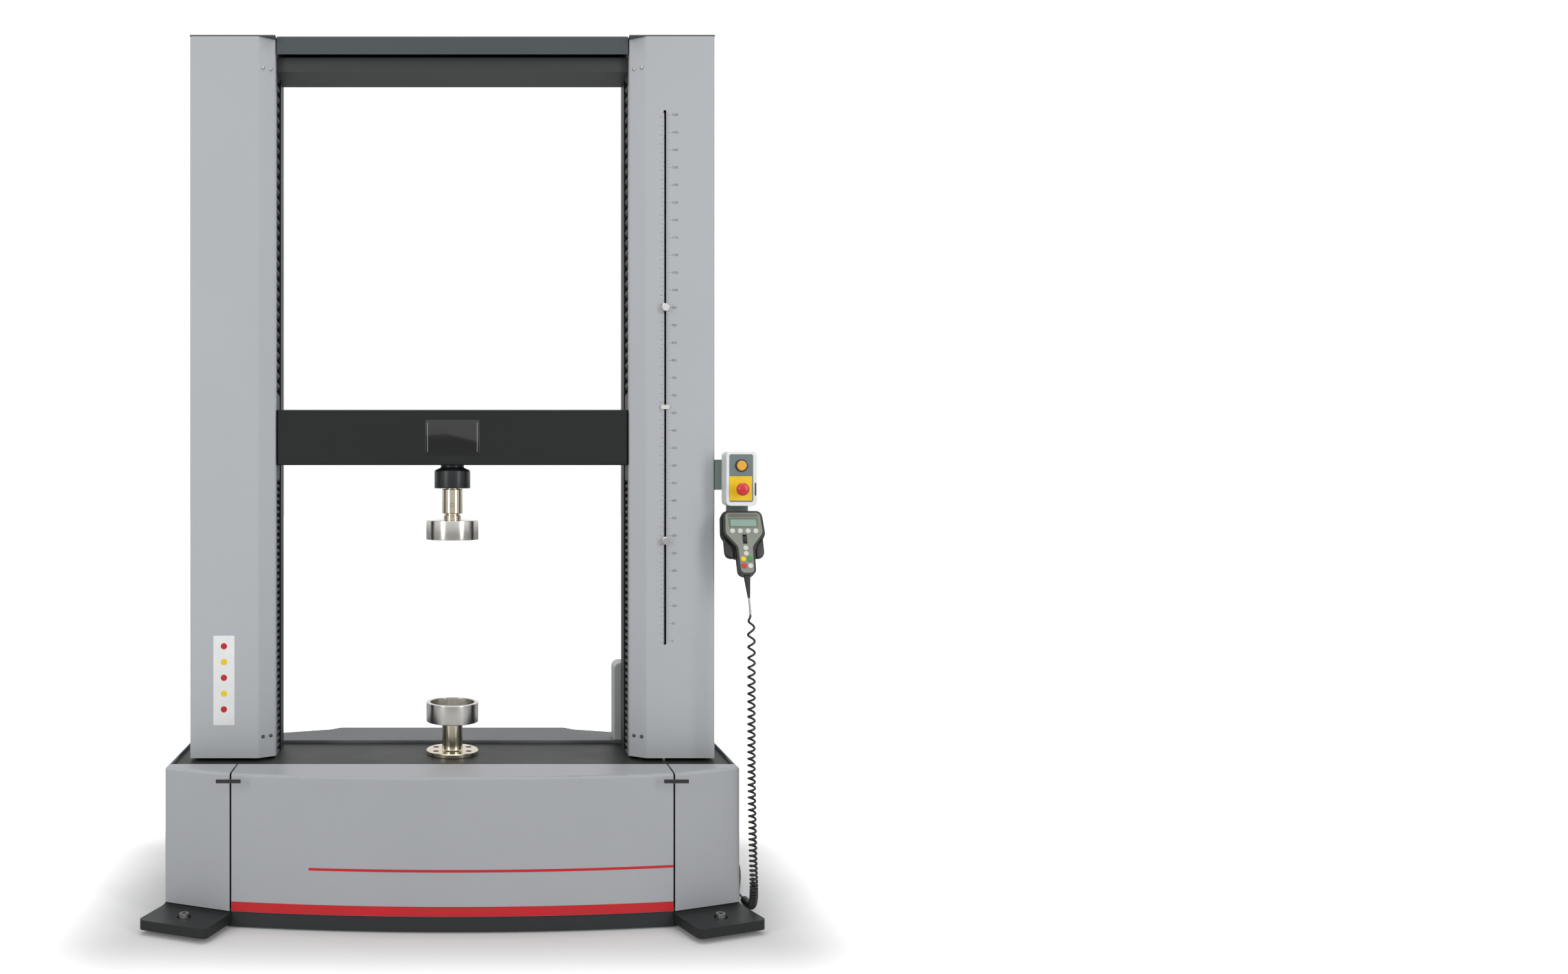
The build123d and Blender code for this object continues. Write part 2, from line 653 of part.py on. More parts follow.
def screw_bearings():
    """Four housings: under the table and under the beam."""
    low = bearing((UNDER_TABLE - BEARING_TALL, UNDER_TABLE))
    high = bearing((BEAM_BOTTOM - BEARING_TALL, BEAM_BOTTOM))
    return Compound(children=[low, high, mirror(low, about=Plane.YZ), mirror(high, about=Plane.YZ)])


def pulley(x, y, bore):
    """A flanged belt pulley."""
    low, high = PULLEY_BOTTOM, PULLEY_TOP
    profile = [
        (bore, low), (PULLEY_RIM_R, low), (PULLEY_RIM_R, low + PULLEY_RIM), (PULLEY_R, low + PULLEY_RIM),
        (PULLEY_R, high - PULLEY_RIM), (PULLEY_RIM_R, high - PULLEY_RIM), (PULLEY_RIM_R, high), (bore, high),
    ]
    return Pos(x, y, 0) * turned(profile)


def ball_screw(side):
    """A ball screw with its pulley at the foot."""
    x = side * SCREW_X
    screw = rod(x, DRIVE_Y, (PULLEY_BOTTOM, BEAM_BOTTOM - SCREW_END_GAP), BALL_SCREW_R)
    screw = chamfer(screw.edges().filter_by(GeomType.CIRCLE), EDGE)
    return Compound(children=[screw, pulley(x, DRIVE_Y, BALL_SCREW_R + PRESS_PLAY)])


def motor_pulley():
    """The motor's pulley and its shaft."""
    shaft = rod(0, MOTOR_Y, (PULLEY_BOTTOM, MOTOR_BOTTOM - SEAT_GAP), MOTOR_SHAFT_R)
    return Compound(children=[pulley(0, MOTOR_Y, MOTOR_SHAFT_R + PRESS_PLAY), shaft])


def drive_motor():
    """Motor hung from a plate under the table."""
    plate_low = UNDER_TABLE - MOTOR_PLATE
    across = (MOTOR_Y - MOTOR_PLATE_HALF, MOTOR_Y + MOTOR_PLATE_HALF)
    plate = block((-MOTOR_PLATE_HALF, MOTOR_PLATE_HALF), across, (plate_low, UNDER_TABLE))
    body = rod(0, MOTOR_Y, (MOTOR_BOTTOM, plate_low), MOTOR_R)
    return plate + fillet(body.edges().group_by(Axis.Z)[0], MOTOR_EDGE)


def drive_belt():
    """Toothed belt round the two screw pulleys and the motor pulley."""
    places = [(-SCREW_X, DRIVE_Y), (SCREW_X, DRIVE_Y), (0, MOTOR_Y)]
    inner_r = PULLEY_R + SEAT_GAP
    low = PULLEY_BOTTOM + PULLEY_RIM + SEAT_GAP
    high = PULLEY_TOP - PULLEY_RIM - SEAT_GAP
    loops = []
    for radius in (inner_r + BELT_THICK, inner_r):
        circles = [(Pos(x, y) * Circle(radius)).edge() for x, y in places]
        loops.append(make_hull(circles))
    return prism(loops[0], low, high) - prism(loops[1], low, high)


def crosshead_beam():
    """The travelling beam, its tongues into the columns and their bores."""
    z = (HEAD_BOTTOM, HEAD_TOP)
    beam = block((-HEAD_X, HEAD_X), (-HEAD_FRONT_Y, HEAD_REAR_Y), z)
    beam = chamfer(beam.edges().filter_by(Axis.X) + beam.edges().filter_by(Axis.Z), HEAD_EDGE)
    beam += block((-TONGUE_X, TONGUE_X), (-TONGUE_FRONT_Y, TONGUE_REAR_Y), z)
    for side in (-1, 1):
        beam -= rod(side * GUIDE_X, DRIVE_Y, z, GUIDE_R + GUIDE_CLEAR)
        beam -= rod(side * SCREW_X, DRIVE_Y, z, NUT_R + PRESS_PLAY)
    return beam


def guide_bushing(z):
    """A bushing block that runs on the right guide column."""
    y = (DRIVE_Y - BUSH_HALF_Y, DRIVE_Y + BUSH_HALF_Y)
    bush = block((GUIDE_X - BUSH_IN, GUIDE_X + BUSH_OUT), y, z)
    bush = chamfer(bush.edges().filter_by(Axis.Z), EDGE)
    return bush - rod(GUIDE_X, DRIVE_Y, z, GUIDE_R + RUNNING_FIT)


def guide_bushings():
    """Four bushing blocks, above and below the tongues."""
    above = guide_bushing((HEAD_TOP, HEAD_TOP + BUSH_TALL))
    below = guide_bushing((HEAD_BOTTOM - BUSH_TALL, HEAD_BOTTOM))
    return Compound(children=[above, below, mirror(above, about=Plane.YZ), mirror(below, about=Plane.YZ)])


def ball_nut():
    """The right ball nut, flanged on top of the tongue."""
    bore = BALL_SCREW_R + RUNNING_FIT
    low, high = HEAD_TOP - NUT_LONG, HEAD_TOP + NUT_FLANGE
    profile = [
        (bore, low), (NUT_R, low), (NUT_R, HEAD_TOP),
        (NUT_FLANGE_R, HEAD_TOP), (NUT_FLANGE_R, high), (bore, high),
    ]
    return Pos(SCREW_X, DRIVE_Y, 0) * turned(profile)


def travel_pointer():
    """Pointer on the crosshead that shows through the scale slot and meets the stops."""
    plate_z = (HEAD_TOP, HEAD_TOP + POINTER_PLATE)
    inner_y = -COLUMN_FRONT_Y + COLUMN_SHEET + EDGE
    half = POINTER_WIDTH / 2
    arm = block((SCALE_X - half, SCALE_X + half), (inner_y, POINTER_SEAT - TONGUE_FRONT_Y), plate_z)
    arm -= rod(SCALE_X, -ROD_Y, plate_z, ROD_R + FINE_EDGE)
    neck_y = (-COLUMN_FRONT_Y - POINTER_STANDOFF, inner_y)
    neck = block((SCALE_X - STOP_STEM / 2, SCALE_X + STOP_STEM / 2), neck_y, plate_z)
    wide, deep, tall = POINTER_HEAD
    head_y = (neck_y[0] - deep, neck_y[0])
    face = block((SCALE_X - wide / 2, SCALE_X + wide / 2), head_y, (HEAD_TOP, HEAD_TOP + tall))
    return arm + neck + chamfer(face.edges().filter_by(Axis.Y), EDGE)


def travel_stop(z):
    """A stop: block on the limit rod, stem through the slot and a clamp knob outside."""
    half = STOP_SIZE / 2
    tall = (z - STOP_TALL / 2, z + STOP_TALL / 2)
    clamp = block((SCALE_X - half, SCALE_X + half), (-ROD_Y - half, -ROD_Y + half), tall)
    clamp = chamfer(clamp.edges().filter_by(Axis.Z), EDGE)
    clamp -= rod(SCALE_X, -ROD_Y, tall, ROD_R + RUNNING_FIT)
    face_y = -COLUMN_FRONT_Y - SEAT_GAP
    stem = bar_y(SCALE_X, z, (face_y, -ROD_Y - half + FINE_EDGE), STOP_STEM / 2)
    knob = bar_y(SCALE_X, z, (face_y - STOP_KNOB_LONG, face_y), STOP_KNOB_R)
    return clamp + stem + chamfer(knob.edges().filter_by(GeomType.CIRCLE), FINE_EDGE)


def load_cell():
    """Load cell under the crosshead."""
    low, high = CELL_BOTTOM, CELL_BOTTOM + CELL_TALL
    return turned([
        (0, low), (CELL_R - EDGE, low), (CELL_R, low + EDGE), (CELL_R, high - CELL_EDGE),
        (CELL_R - CELL_EDGE, high), (CELL_NECK_R, high), (CELL_NECK_R, HEAD_BOTTOM), (0, HEAD_BOTTOM),
    ])


def cross_pin(z):
    """The pin that locks an adapter, along Y."""
    half = STEM_R - PIN_RECESS
    pin = bar_y(0, z, (-half, half), PIN_R - PRESS_PLAY)
    return chamfer(pin.edges().filter_by(GeomType.CIRCLE), FINE_EDGE)


def upper_adapter():
    """Stem and collar between the load cell and the upper platen, with its pin."""
    stem_top = CELL_BOTTOM - NECK_LONG
    stem_low = stem_top - STEM_LONG
    collar_low = UPPER_PLATEN_Z + PLATEN_TALL
    collar_top = collar_low + COLLAR_LONG
    stem = turned([
        (0, collar_low), (COLLAR_R - FINE_EDGE, collar_low), (COLLAR_R, collar_low + FINE_EDGE),
        (COLLAR_R, collar_top - FINE_EDGE), (COLLAR_R - FINE_EDGE, collar_top), (NECK_R, collar_top),
        (NECK_R, stem_low), (STEM_R - EDGE, stem_low), (STEM_R, stem_low + EDGE), (STEM_R, stem_top - EDGE),
        (STEM_R - EDGE, stem_top), (NECK_R, stem_top), (NECK_R, CELL_BOTTOM), (0, CELL_BOTTOM),
    ])
    hole = bar_y(0, UPPER_PIN_Z, (-2 * STEM_R, 2 * STEM_R), PIN_R)
    return Compound(children=[stem - hole, cross_pin(UPPER_PIN_Z)])


def base_adapter():
    """Flanged stem on the table that carries the lower platen, with its pin."""
    low, high = TABLE_TOP, TABLE_TOP + FLANGE_TALL
    stem = turned([
        (0, low), (FLANGE_R - FLANGE_EDGE, low), (FLANGE_R, low + FLANGE_EDGE),
        (FLANGE_R, high - FLANGE_EDGE), (FLANGE_R - FLANGE_EDGE, high),
        (STEM_R, high), (STEM_R, LOWER_PLATEN_Z - EDGE), (STEM_R - EDGE, LOWER_PLATEN_Z), (0, LOWER_PLATEN_Z),
    ])
    circles = stem.edges().filter_by(GeomType.CIRCLE)
    stem_foot = circles.filter_by(lambda e: abs(e.radius - STEM_R) < EDGE / 2).sort_by(Axis.Z)[0]
    stem = fillet(stem_foot, FLANGE_FILLET)
    step = 360 / FLANGE_HOLES
    for n in range(FLANGE_HOLES):
        angle = radians(step * (n + 0.5))
        x, y = FLANGE_HOLE_RING * cos(angle), FLANGE_HOLE_RING * sin(angle)
        stem -= rod(x, y, (low, high), FLANGE_HOLE_R)
        stem -= rod(x, y, (high - FLANGE_SINK, high), FLANGE_SINK_R)
    hole = bar_y(0, LOWER_PIN_Z, (-2 * STEM_R, 2 * STEM_R), PIN_R)
    return Compound(children=[stem - hole, cross_pin(LOWER_PIN_Z)])


def platen():
    """A cup-shaped platen, open upwards, with its underside at zero."""
    inner = PLATEN_R - PLATEN_WALL
    return turned([
        (0, 0), (PLATEN_R - PLATEN_EDGE, 0), (PLATEN_R, PLATEN_EDGE),
        (PLATEN_R, PLATEN_TALL - FINE_EDGE), (PLATEN_R - FINE_EDGE, PLATEN_TALL),
        (inner + FINE_EDGE, PLATEN_TALL), (inner, PLATEN_TALL - FINE_EDGE),
        (inner, PLATEN_FLOOR), (0, PLATEN_FLOOR),
    ])


def lower_platen():
    """The platen on the table's adapter."""
    return Pos(0, 0, LOWER_PLATEN_Z) * platen()


def upper_platen():
    """The platen under the crosshead, open downwards."""
    return Pos(0, 0, UPPER_PLATEN_Z + PLATEN_TALL) * mirror(platen(), about=Plane.XY)


def pleats(low, high, pitch):
    """A pleated screen in the right column's slot, between two heights."""
    count = max(2, round((high - low) / pitch))
    step = (high - low) / (2 * count)
    ridge = COLUMN_IN_X + PLEAT_IN
    fold = PLEAT_DEEP - PLEAT_THICK
    wall = [(ridge + fold * (n % 2), low + n * step) for n in range(2 * count + 1)]
    points = wall + [(x + PLEAT_THICK, z) for x, z in reversed(wall)]
    face = make_face(Polyline(*[(x, -SLOT_FRONT_Y + PLEAT_SIDE_GAP, z) for x, z in points], close=True))
    return extrude(face, amount=SLOT_FRONT_Y + SLOT_REAR_Y - 2 * PLEAT_SIDE_GAP, dir=(0, 1, 0))


def column_bellows():
    """Pleated screens above and below the crosshead, in both columns."""
    upper = pleats(HEAD_TOP + BUSH_TALL + SEAT_GAP, BEAM_BOTTOM - SEAT_GAP, PLEAT_PITCH_UP)
    lower = pleats(TABLE_TOP + SEAT_GAP, HEAD_BOTTOM - BUSH_TALL - SEAT_GAP, PLEAT_PITCH_DOWN)
    return Compound(children=[upper, lower, mirror(upper, about=Plane.YZ), mirror(lower, about=Plane.YZ)])


def estop_bracket():
    """Folded bracket on the right column's side, with a tongue down to the handset holder."""
    leg_x = (COLUMN_OUT_X, COLUMN_OUT_X + BRACKET_SHEET)
    plate_y = (BOX_REAR_Y, BOX_REAR_Y + BRACKET_SHEET)
    leg = block(leg_x, (BOX_REAR_Y, BRACKET_LEG_Y), BRACKET_Z)
    plate = block((COLUMN_OUT_X, BRACKET_TONGUE_X[1]), plate_y, BRACKET_Z)
    tongue = block(BRACKET_TONGUE_X, plate_y, (TONGUE_BOTTOM, BRACKET_Z[0]))
    bracket = leg + plate + tongue
    fold = bracket.edges().filter_by(Axis.Z).sort_by_distance((COLUMN_OUT_X, BOX_REAR_Y, BRACKET_Z[1]))[0]
    return fillet(fold, BRACKET_BEND)


def estop_box():
    """The hollow body of the emergency stop box."""
    y = (BOX_FRONT_Y + BOX_LID, BOX_REAR_Y)
    body = block(BOX_X, y, BOX_Z)
    body = fillet(body.edges().filter_by(Axis.Y), BOX_CORNER)
    hollow_x = (BOX_X[0] + BOX_WALL, BOX_X[1] - BOX_WALL)
    hollow_z = (BOX_Z[0] + BOX_WALL, BOX_Z[1] - BOX_WALL)
    hollow = block(hollow_x, (y[0], y[1] - BOX_WALL), hollow_z)
    return body - fillet(hollow.edges().filter_by(Axis.Y), BOX_CORNER - BOX_WALL)


def estop_face():
    """The box's front: a raised rim round an inlay, with the holes for both buttons."""
    y = (BOX_FRONT_Y, BOX_FRONT_Y + BOX_LID)
    face = block(BOX_X, y, BOX_Z)
    face = fillet(face.edges().filter_by(Axis.Y), BOX_CORNER)
    face = fillet(face.faces().sort_by(Axis.Y)[0].edges(), EDGE)
    inlay = block(INLAY_X, (BOX_FRONT_Y, BOX_FRONT_Y + INLAY_DEPTH), INLAY_Z)
    face -= fillet(inlay.edges().filter_by(Axis.Y), INLAY_CORNER)
    face -= bar_y(*STOP_BUTTON, y, STOP_STEM_R + RUNNING_FIT)
    return face - bar_y(*POWER_BUTTON, y, POWER_R + SEAT_GAP)


def estop_stem():
    """The plunger of the emergency stop, with its yellow collar behind the head."""
    front = BOX_FRONT_Y - STOP_STEM_LONG
    return bar_y(*STOP_BUTTON, (front, BOX_FRONT_Y + BOX_LID + STOP_PRESS), STOP_STEM_R)


def estop_head():
    """The mushroom head: a round with a flatter dome over it."""
    long, radius = STOP_HEAD_LONG, STOP_HEAD_R
    rise = long - STOP_HEAD_RIM
    dome_r = (radius**2 + rise**2) / (2 * rise)
    head = Pos(0, 0, long / 2) * Cylinder(radius, long) & Pos(0, 0, long - dome_r) * Sphere(dome_r)
    head = chamfer(head.edges().sort_by(Axis.Z)[0], STOP_HEAD_EDGE)
    seat_y = BOX_FRONT_Y - STOP_STEM_LONG - SEAT_GAP
    return Pos(STOP_BUTTON[0], seat_y, STOP_BUTTON[1]) * Rot(90, 0, 0) * head


def power_button():
    """The amber push button."""
    button = bar_y(*POWER_BUTTON, (BOX_FRONT_Y - POWER_PROUD, BOX_FRONT_Y + BOX_LID), POWER_R)
    return fillet(button.edges().filter_by(GeomType.CIRCLE).sort_by(Axis.Y)[0], EDGE)


def handset_place():
    """From the handset's own flat drawing to its place on the machine."""
    return Pos(*HANDSET_AT) * Rot(-HANDSET_LEAN, 0, 0)


def face_outline(border=0.0):
    """The handset's front outline: a wide head that narrows to the handle."""
    ends = [(FACE_TOP_X, FACE_TOP), (FACE_HANDLE_X, FACE_BOTTOM)]
    bends = [FACE_WIDE, FACE_WAIST]
    half = [ends[0], *bends, ends[1]]
    face = make_face(Polyline(*half, *[(-x, z) for x, z in reversed(half)], close=True))
    face = fillet(near(face, ends + [(-x, z) for x, z in ends]), FACE_CORNER)
    face = fillet(near(face, bends + [(-x, z) for x, z in bends]), FACE_BLEND)
    return offset(face, amount=border) if border else face


def plate_y(face, front, back):
    """A handset outline, drawn in X and Z, raised between two depths."""
    upright = Plane.XZ * face
    return extrude(Pos(0, front, 0) * upright, amount=back - front, dir=(0, 1, 0))


def key_places():
    """Where the keys stand on the handset's face: name, across, up."""
    middle = (SOFT_KEYS - 1) / 2
    row = {f"soft_key_{n + 1}": (SOFT_KEY_PITCH * (n - middle), SOFT_KEY_Z) for n in range(SOFT_KEYS)}
    return row | KEY_PLACES


def key(x, z):
    """A round key with a softened front edge."""
    front = -FACE_PROUD - KEY_PROUD
    cap = bar_y(x, z, (front, front + KEY_LONG), KEY_R)
    cap = chamfer(cap.edges().filter_by(GeomType.CIRCLE).sort_by(Axis.Y)[0], FACE_EDGE)
    return handset_place() * cap


def wheel_slot(depth):
    """The room for the wheel, from the face down to a depth."""
    half_x = WHEEL_WIDE / 2 + WHEEL_GAP
    half_z = WHEEL_R + WHEEL_GAP
    return block((-half_x, half_x), (-FACE_PROUD, depth), (-half_z, half_z))


def handset_front_shell():
    """The grey face plate with its key holes, wheel slot and display recess."""
    plate = plate_y(face_outline(), -FACE_PROUD, FACE_SEAT)
    plate = chamfer(plate.faces().sort_by(Axis.Y)[0].edges(), FACE_EDGE)
    for x, z in key_places().values():
        plate -= bar_y(x, z, (-FACE_PROUD, FACE_SEAT), KEY_R + KEY_GAP)
    display = block((-DISPLAY_HALF, DISPLAY_HALF), (-FACE_PROUD, DISPLAY_DEPTH - FACE_PROUD), DISPLAY_Z)
    return handset_place() * (plate - wheel_slot(FACE_SEAT) - display)


def handset_back_shell():
    """The black body: a recess for the face plate, key pockets, the wheel's well and its axle."""
    body = plate_y(face_outline(SHELL_BORDER), 0, SHELL_DEPTH)
    body = chamfer(body.faces().sort_by(Axis.Y)[-1].edges(), SHELL_EDGE)
    body -= plate_y(face_outline(PRESS_PLAY), 0, FACE_SEAT)
    pocket = FACE_SEAT + KEY_TRAVEL + KEY_POCKET
    for x, z in key_places().values():
        body -= bar_y(x, z, (0, pocket), KEY_R + KEY_GAP)
    well = WHEEL_DEPTH + WHEEL_R + WHEEL_GAP
    body -= wheel_slot(well)
    axle = Pos(0, WHEEL_DEPTH, 0) * Rot(0, 90, 0) * Cylinder(AXLE_R, WHEEL_WIDE + AXLE_SEAT)
    return handset_place() * (body + axle)


def thumbwheel():
    """Ribbed wheel for fine positioning."""
    wheel = Cylinder(WHEEL_R, WHEEL_WIDE) - Cylinder(AXLE_R + RUNNING_FIT, WHEEL_WIDE)
    for n in range(WHEEL_RIBS):
        angle = 2 * pi * n / WHEEL_RIBS
        wheel -= Pos(WHEEL_R * cos(angle), WHEEL_R * sin(angle), 0) * Cylinder(WHEEL_RIB_R, WHEEL_WIDE)
    return handset_place() * Pos(0, WHEEL_DEPTH, 0) * Rot(0, 90, 0) * wheel


def handset_holder():
    """Cradle behind the handset: a leaning back plate, a low rim and a wedge to the bracket."""
    outline = face_outline(SHELL_BORDER + HOLDER_GAP + HOLDER_WALL)
    hole = face_outline(SHELL_BORDER + HOLDER_GAP)
    back = SHELL_DEPTH + HOLDER_WALL
    rim = plate_y(outline, SHELL_DEPTH - HOLDER_RIM, back) - plate_y(hole, 0, SHELL_DEPTH + SEAT_GAP)
    far = BOX_TALL
    rim &= block((-far, far), (0, back), HOLDER_Z)
    wedge = block(BRACKET_TONGUE_X, (HANDSET_AT[1], BOX_REAR_Y), HOLDER_WEDGE_Z)
    behind = handset_place() * block((-far, far), (back, far), (-far, far))
    return handset_place() * rim + (wedge & behind)


def cord_boot():
    """Tapered strain relief at the foot of the handset."""
    top_z = FACE_BOTTOM - SHELL_BORDER
    depth = SHELL_DEPTH / 2
    return handset_place() * Pos(0, depth, top_z - BOOT_LONG / 2) * Cone(BOOT_TIP_R, BOOT_TOP_R, BOOT_LONG)


def controller_housing():
    """Electronics housing on the rear panel, rounded at its top corners."""
    z = (COVER_TOP, COVER_TOP + HOUSING_TALL)
    housing = block(HOUSING_X, HOUSING_Y, z)
    top_corners = housing.edges().filter_by(Axis.Y).group_by(Axis.Z)[-1]
    housing = fillet(top_corners, HOUSING_CORNER)
    return chamfer(housing.faces().sort_by(Axis.Y)[0].edges(), EDGE)


def corner_radii(points):
    """For each corner of a route, 0.45 of the shorter run over the tangent of half the turn."""
    radii = []
    for before, corner, after in zip(points, points[1:], points[2:]):
        first = Vector(*corner) - Vector(*before)
        second = Vector(*after) - Vector(*corner)
        half_turn = radians(first.get_angle(second)) / 2
        radii.append(0.45 * min(first.length, second.length) / tan(half_turn))
    return radii


def tube(name, route, radius):
    """A tube along straight runs joined by tangent arcs."""
    points = [(CORNER_X + across, y, z) for across, y, z in route]
    radii = corner_radii(points)
    path = FilletPolyline(*points, radius=radii)
    start = Plane(origin=points[0], z_dir=Vector(*points[1]) - Vector(*points[0]))
    solid = sweep(start * Circle(radius), path=path)
    print(name, "length", round(path.length, 1), "smallest radius", round(min(radii), 1))
    print(name, "volume over section times length", round(solid.volume / (pi * radius**2 * path.length), 4))
    return solid


def cord_socket():
    """Socket on the right side cover."""
    bore = Pos(0, 0, SOCKET_FLOOR) * Cylinder(PLUG_R + PRESS_PLAY, SOCKET_LONG)
    ring = Cylinder(SOCKET_R, SOCKET_LONG) - bore
    return Pos(CORNER_X + SOCKET_LONG / 2, SOCKET_Y, SOCKET_Z) * Rot(0, 90, 0) * ring


def cord_plug():
    """Round plug in the socket; the cord's tail meets its outer end."""
    start = CORNER_X + SOCKET_FLOOR
    end = CORNER_X + TAIL_POINTS[-1][0]
    plug = Cylinder(PLUG_R, end - start)
    plug = chamfer(plug.edges().filter_by(GeomType.CIRCLE).sort_by(Axis.Z)[-1], EDGE)
    return Pos((start + end) / 2, SOCKET_Y, SOCKET_Z) * Rot(0, 90, 0) * plug


def machine():
    """Every node of the machine by name."""
    front, rear, left, right = base_covers()
    cover = column_cover()
    nodes = {
        "base_frame": base_frame(),
        "table_plate": table_plate(),
        "front_cover": front,
        "rear_cover": rear,
        "left_side_cover": left,
        "right_side_cover": right,
        "rear_top_panel": rear_top_panel(),
        "floor_feet": at_four_corners(foot()),
        "levelling_screws": at_four_corners(levelling_screw()),
        "left_column_cover": mirror(cover, about=Plane.YZ),
        "right_column_cover": cover - scale_slot(),
        "rear_columns": both_sides(rear_column()),
        "guide_columns": both_sides(rod(GUIDE_X, DRIVE_Y, (TABLE_TOP, BEAM_BOTTOM), GUIDE_R)),
        "limit_rod": rod(SCALE_X, -ROD_Y, (TABLE_TOP, BEAM_BOTTOM), ROD_R),
        "top_beam": top_beam(),
        "top_cap": top_cap(),
        "screw_bearings": screw_bearings(),
        "drive_motor": drive_motor(),
        "drive_belt": drive_belt(),
        "left_ball_screw": ball_screw(-1),
        "right_ball_screw": ball_screw(1),
        "motor_pulley": motor_pulley(),
        "crosshead_beam": crosshead_beam(),
        "guide_bushings": guide_bushings(),
        "ball_nuts": both_sides(ball_nut()),
        "travel_pointer": travel_pointer(),
        "upper_stop": travel_stop(UPPER_STOP_Z),
        "lower_stop": travel_stop(LOWER_STOP_Z),
        "load_cell": load_cell(),
        "upper_adapter": upper_adapter(),
        "upper_platen": upper_platen(),
        "lower_platen": lower_platen(),
        "base_adapter": base_adapter(),
        "column_bellows": column_bellows(),
        "estop_bracket": estop_bracket(),
        "estop_box": estop_box(),
        "estop_face": estop_face(),
        "estop_stem": estop_stem(),
        "estop_head": estop_head(),
        "power_button": power_button(),
        "handset_holder": handset_holder(),
        "handset_front_shell": handset_front_shell(),
        "handset_back_shell": handset_back_shell(),
        "thumbwheel": thumbwheel(),
        "cord_boot": cord_boot(),
        "controller_housing": controller_housing(),
        "cord_socket": cord_socket(),
        "cord_plug": cord_plug(),
        "cord_curl": tube("cord_curl", CURL_POINTS, CURL_R),
        "cord_leads": Compound(children=[
            tube("cord_lead", LEAD_POINTS, CORD_R),
            tube("cord_tail", TAIL_POINTS, CORD_R),
        ]),
    }
    nodes |= {name: key(x, z) for name, (x, z) in key_places().items()}
    return nodes


for node_name, node_shape in machine().items():
    export_step(node_shape, f"parts/{node_name}.step")
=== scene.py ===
import math

import bmesh
import bpy
import numpy as np
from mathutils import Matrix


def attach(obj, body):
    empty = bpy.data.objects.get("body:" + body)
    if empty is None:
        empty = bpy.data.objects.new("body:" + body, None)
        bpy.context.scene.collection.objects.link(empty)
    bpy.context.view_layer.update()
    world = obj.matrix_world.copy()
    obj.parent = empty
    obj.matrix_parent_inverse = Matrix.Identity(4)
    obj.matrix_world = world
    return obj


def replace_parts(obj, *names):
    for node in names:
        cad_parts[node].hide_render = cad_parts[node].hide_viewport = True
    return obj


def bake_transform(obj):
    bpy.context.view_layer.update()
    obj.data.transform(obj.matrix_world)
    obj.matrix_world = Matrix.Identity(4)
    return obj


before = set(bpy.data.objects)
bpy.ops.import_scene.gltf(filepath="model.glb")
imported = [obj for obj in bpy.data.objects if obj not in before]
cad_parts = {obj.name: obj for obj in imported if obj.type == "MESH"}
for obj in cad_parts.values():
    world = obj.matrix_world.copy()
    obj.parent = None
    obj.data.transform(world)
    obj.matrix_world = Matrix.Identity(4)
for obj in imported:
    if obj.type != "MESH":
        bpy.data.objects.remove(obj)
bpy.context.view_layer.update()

# Places on the machine, in millimetres, as in the part's source.
# The origin is on the floor under the loading axis; +X right, +Y to the rear, +Z up.
TABLE_TOP = 408.0
HEAD_BOTTOM = 1252.0
HEAD_TOP = 1411.0
BEAM_BOTTOM = 2391.0
HEAD_FRONT_Y = -62.0
COLUMN_FRONT_Y = -98.0
CHAMFER_START = (508.0, -68.0)
CHAMFER_RUN = (45.0, -30.0)
TABLE_EDGE_Y = -314.5
LOWER_PLATEN_Z = 503.0
UPPER_PLATEN_Z = 1034.5
BOX_FRONT_Y = -170.0
PLUNGER_END_Y = -190.0
STOP_BUTTON = (804.8, 1184.0)
POWER_BUTTON = (807.0, 1249.7)
SCALE_X = 605.7
ARC_CENTRE_Y = 3865.6
ARC_RADIUS = 4193.6
HANDSET_AT = (812.6, -185.0, 1045.0)
HANDSET_UP = (0.0, math.sin(math.radians(22)), math.cos(math.radians(22)))
FACING = (0.0, -math.cos(math.radians(22)), math.sin(math.radians(22)))
RIGHT = (1.0, 0.0, 0.0)
REAR = (0.0, 1.0, 0.0)
UP = (0.0, 0.0, 1.0)
PLATEN_TALL = 56.0
SCREEN_END = 43.3

# The handset cord's route: a straight lead, the curl and a straight tail
LEAD_POINTS = [
    (812.6, -234.04, 886.26), (812.6, -239.28, 873.28), (812.9, -243.6, 858.0), (813.4, -245.6, 842.0),
]
CURL_POINTS = [
    (814.34, -249.35, 812.0), (815.4, -250.5, 775.0), (815.9, -249.5, 732.0),
    (816.1, -248.2, 684.0), (816.2, -247.6, 632.0), (816.1, -247.4, 578.0), (816.3, -247.6, 522.0),
    (816.2, -247.3, 466.0), (816.5, -247.1, 410.0), (817.2, -247.5, 355.0), (818.2, -247.6, 300.0),
    (819.4, -247.2, 246.0), (820.6, -246.4, 193.0), (822.4, -244.6, 142.0), (825.2, -237.5, 96.0),
    (829.4, -219.0, 56.0), (832.4, -188.0, 28.0), (833.0, -152.0, 15.4), (832.6, -118.0, 12.6),
    (831.6, -88.0, 12.2),
]
TAIL_POINTS = [
    (830.87, -66.0, 11.91), (831.4, -43.5, 8.6), (834.0, -20.0, 4.8),
    (838.8, 3.0, 3.5), (845.2, 25.0, 5.6), (851.4, 44.5, 13.4), (855.8, 60.0, 25.6),
    (858.0, 72.0, 39.4), (857.4, 81.0, 54.0), (852.8, 86.8, 68.4), (844.5, 89.4, 79.0),
    (831.0, 90.0, 84.0), (818.0, 90.0, 84.0),
]
CORD_R = 3.2
HELIX_R = 8.6


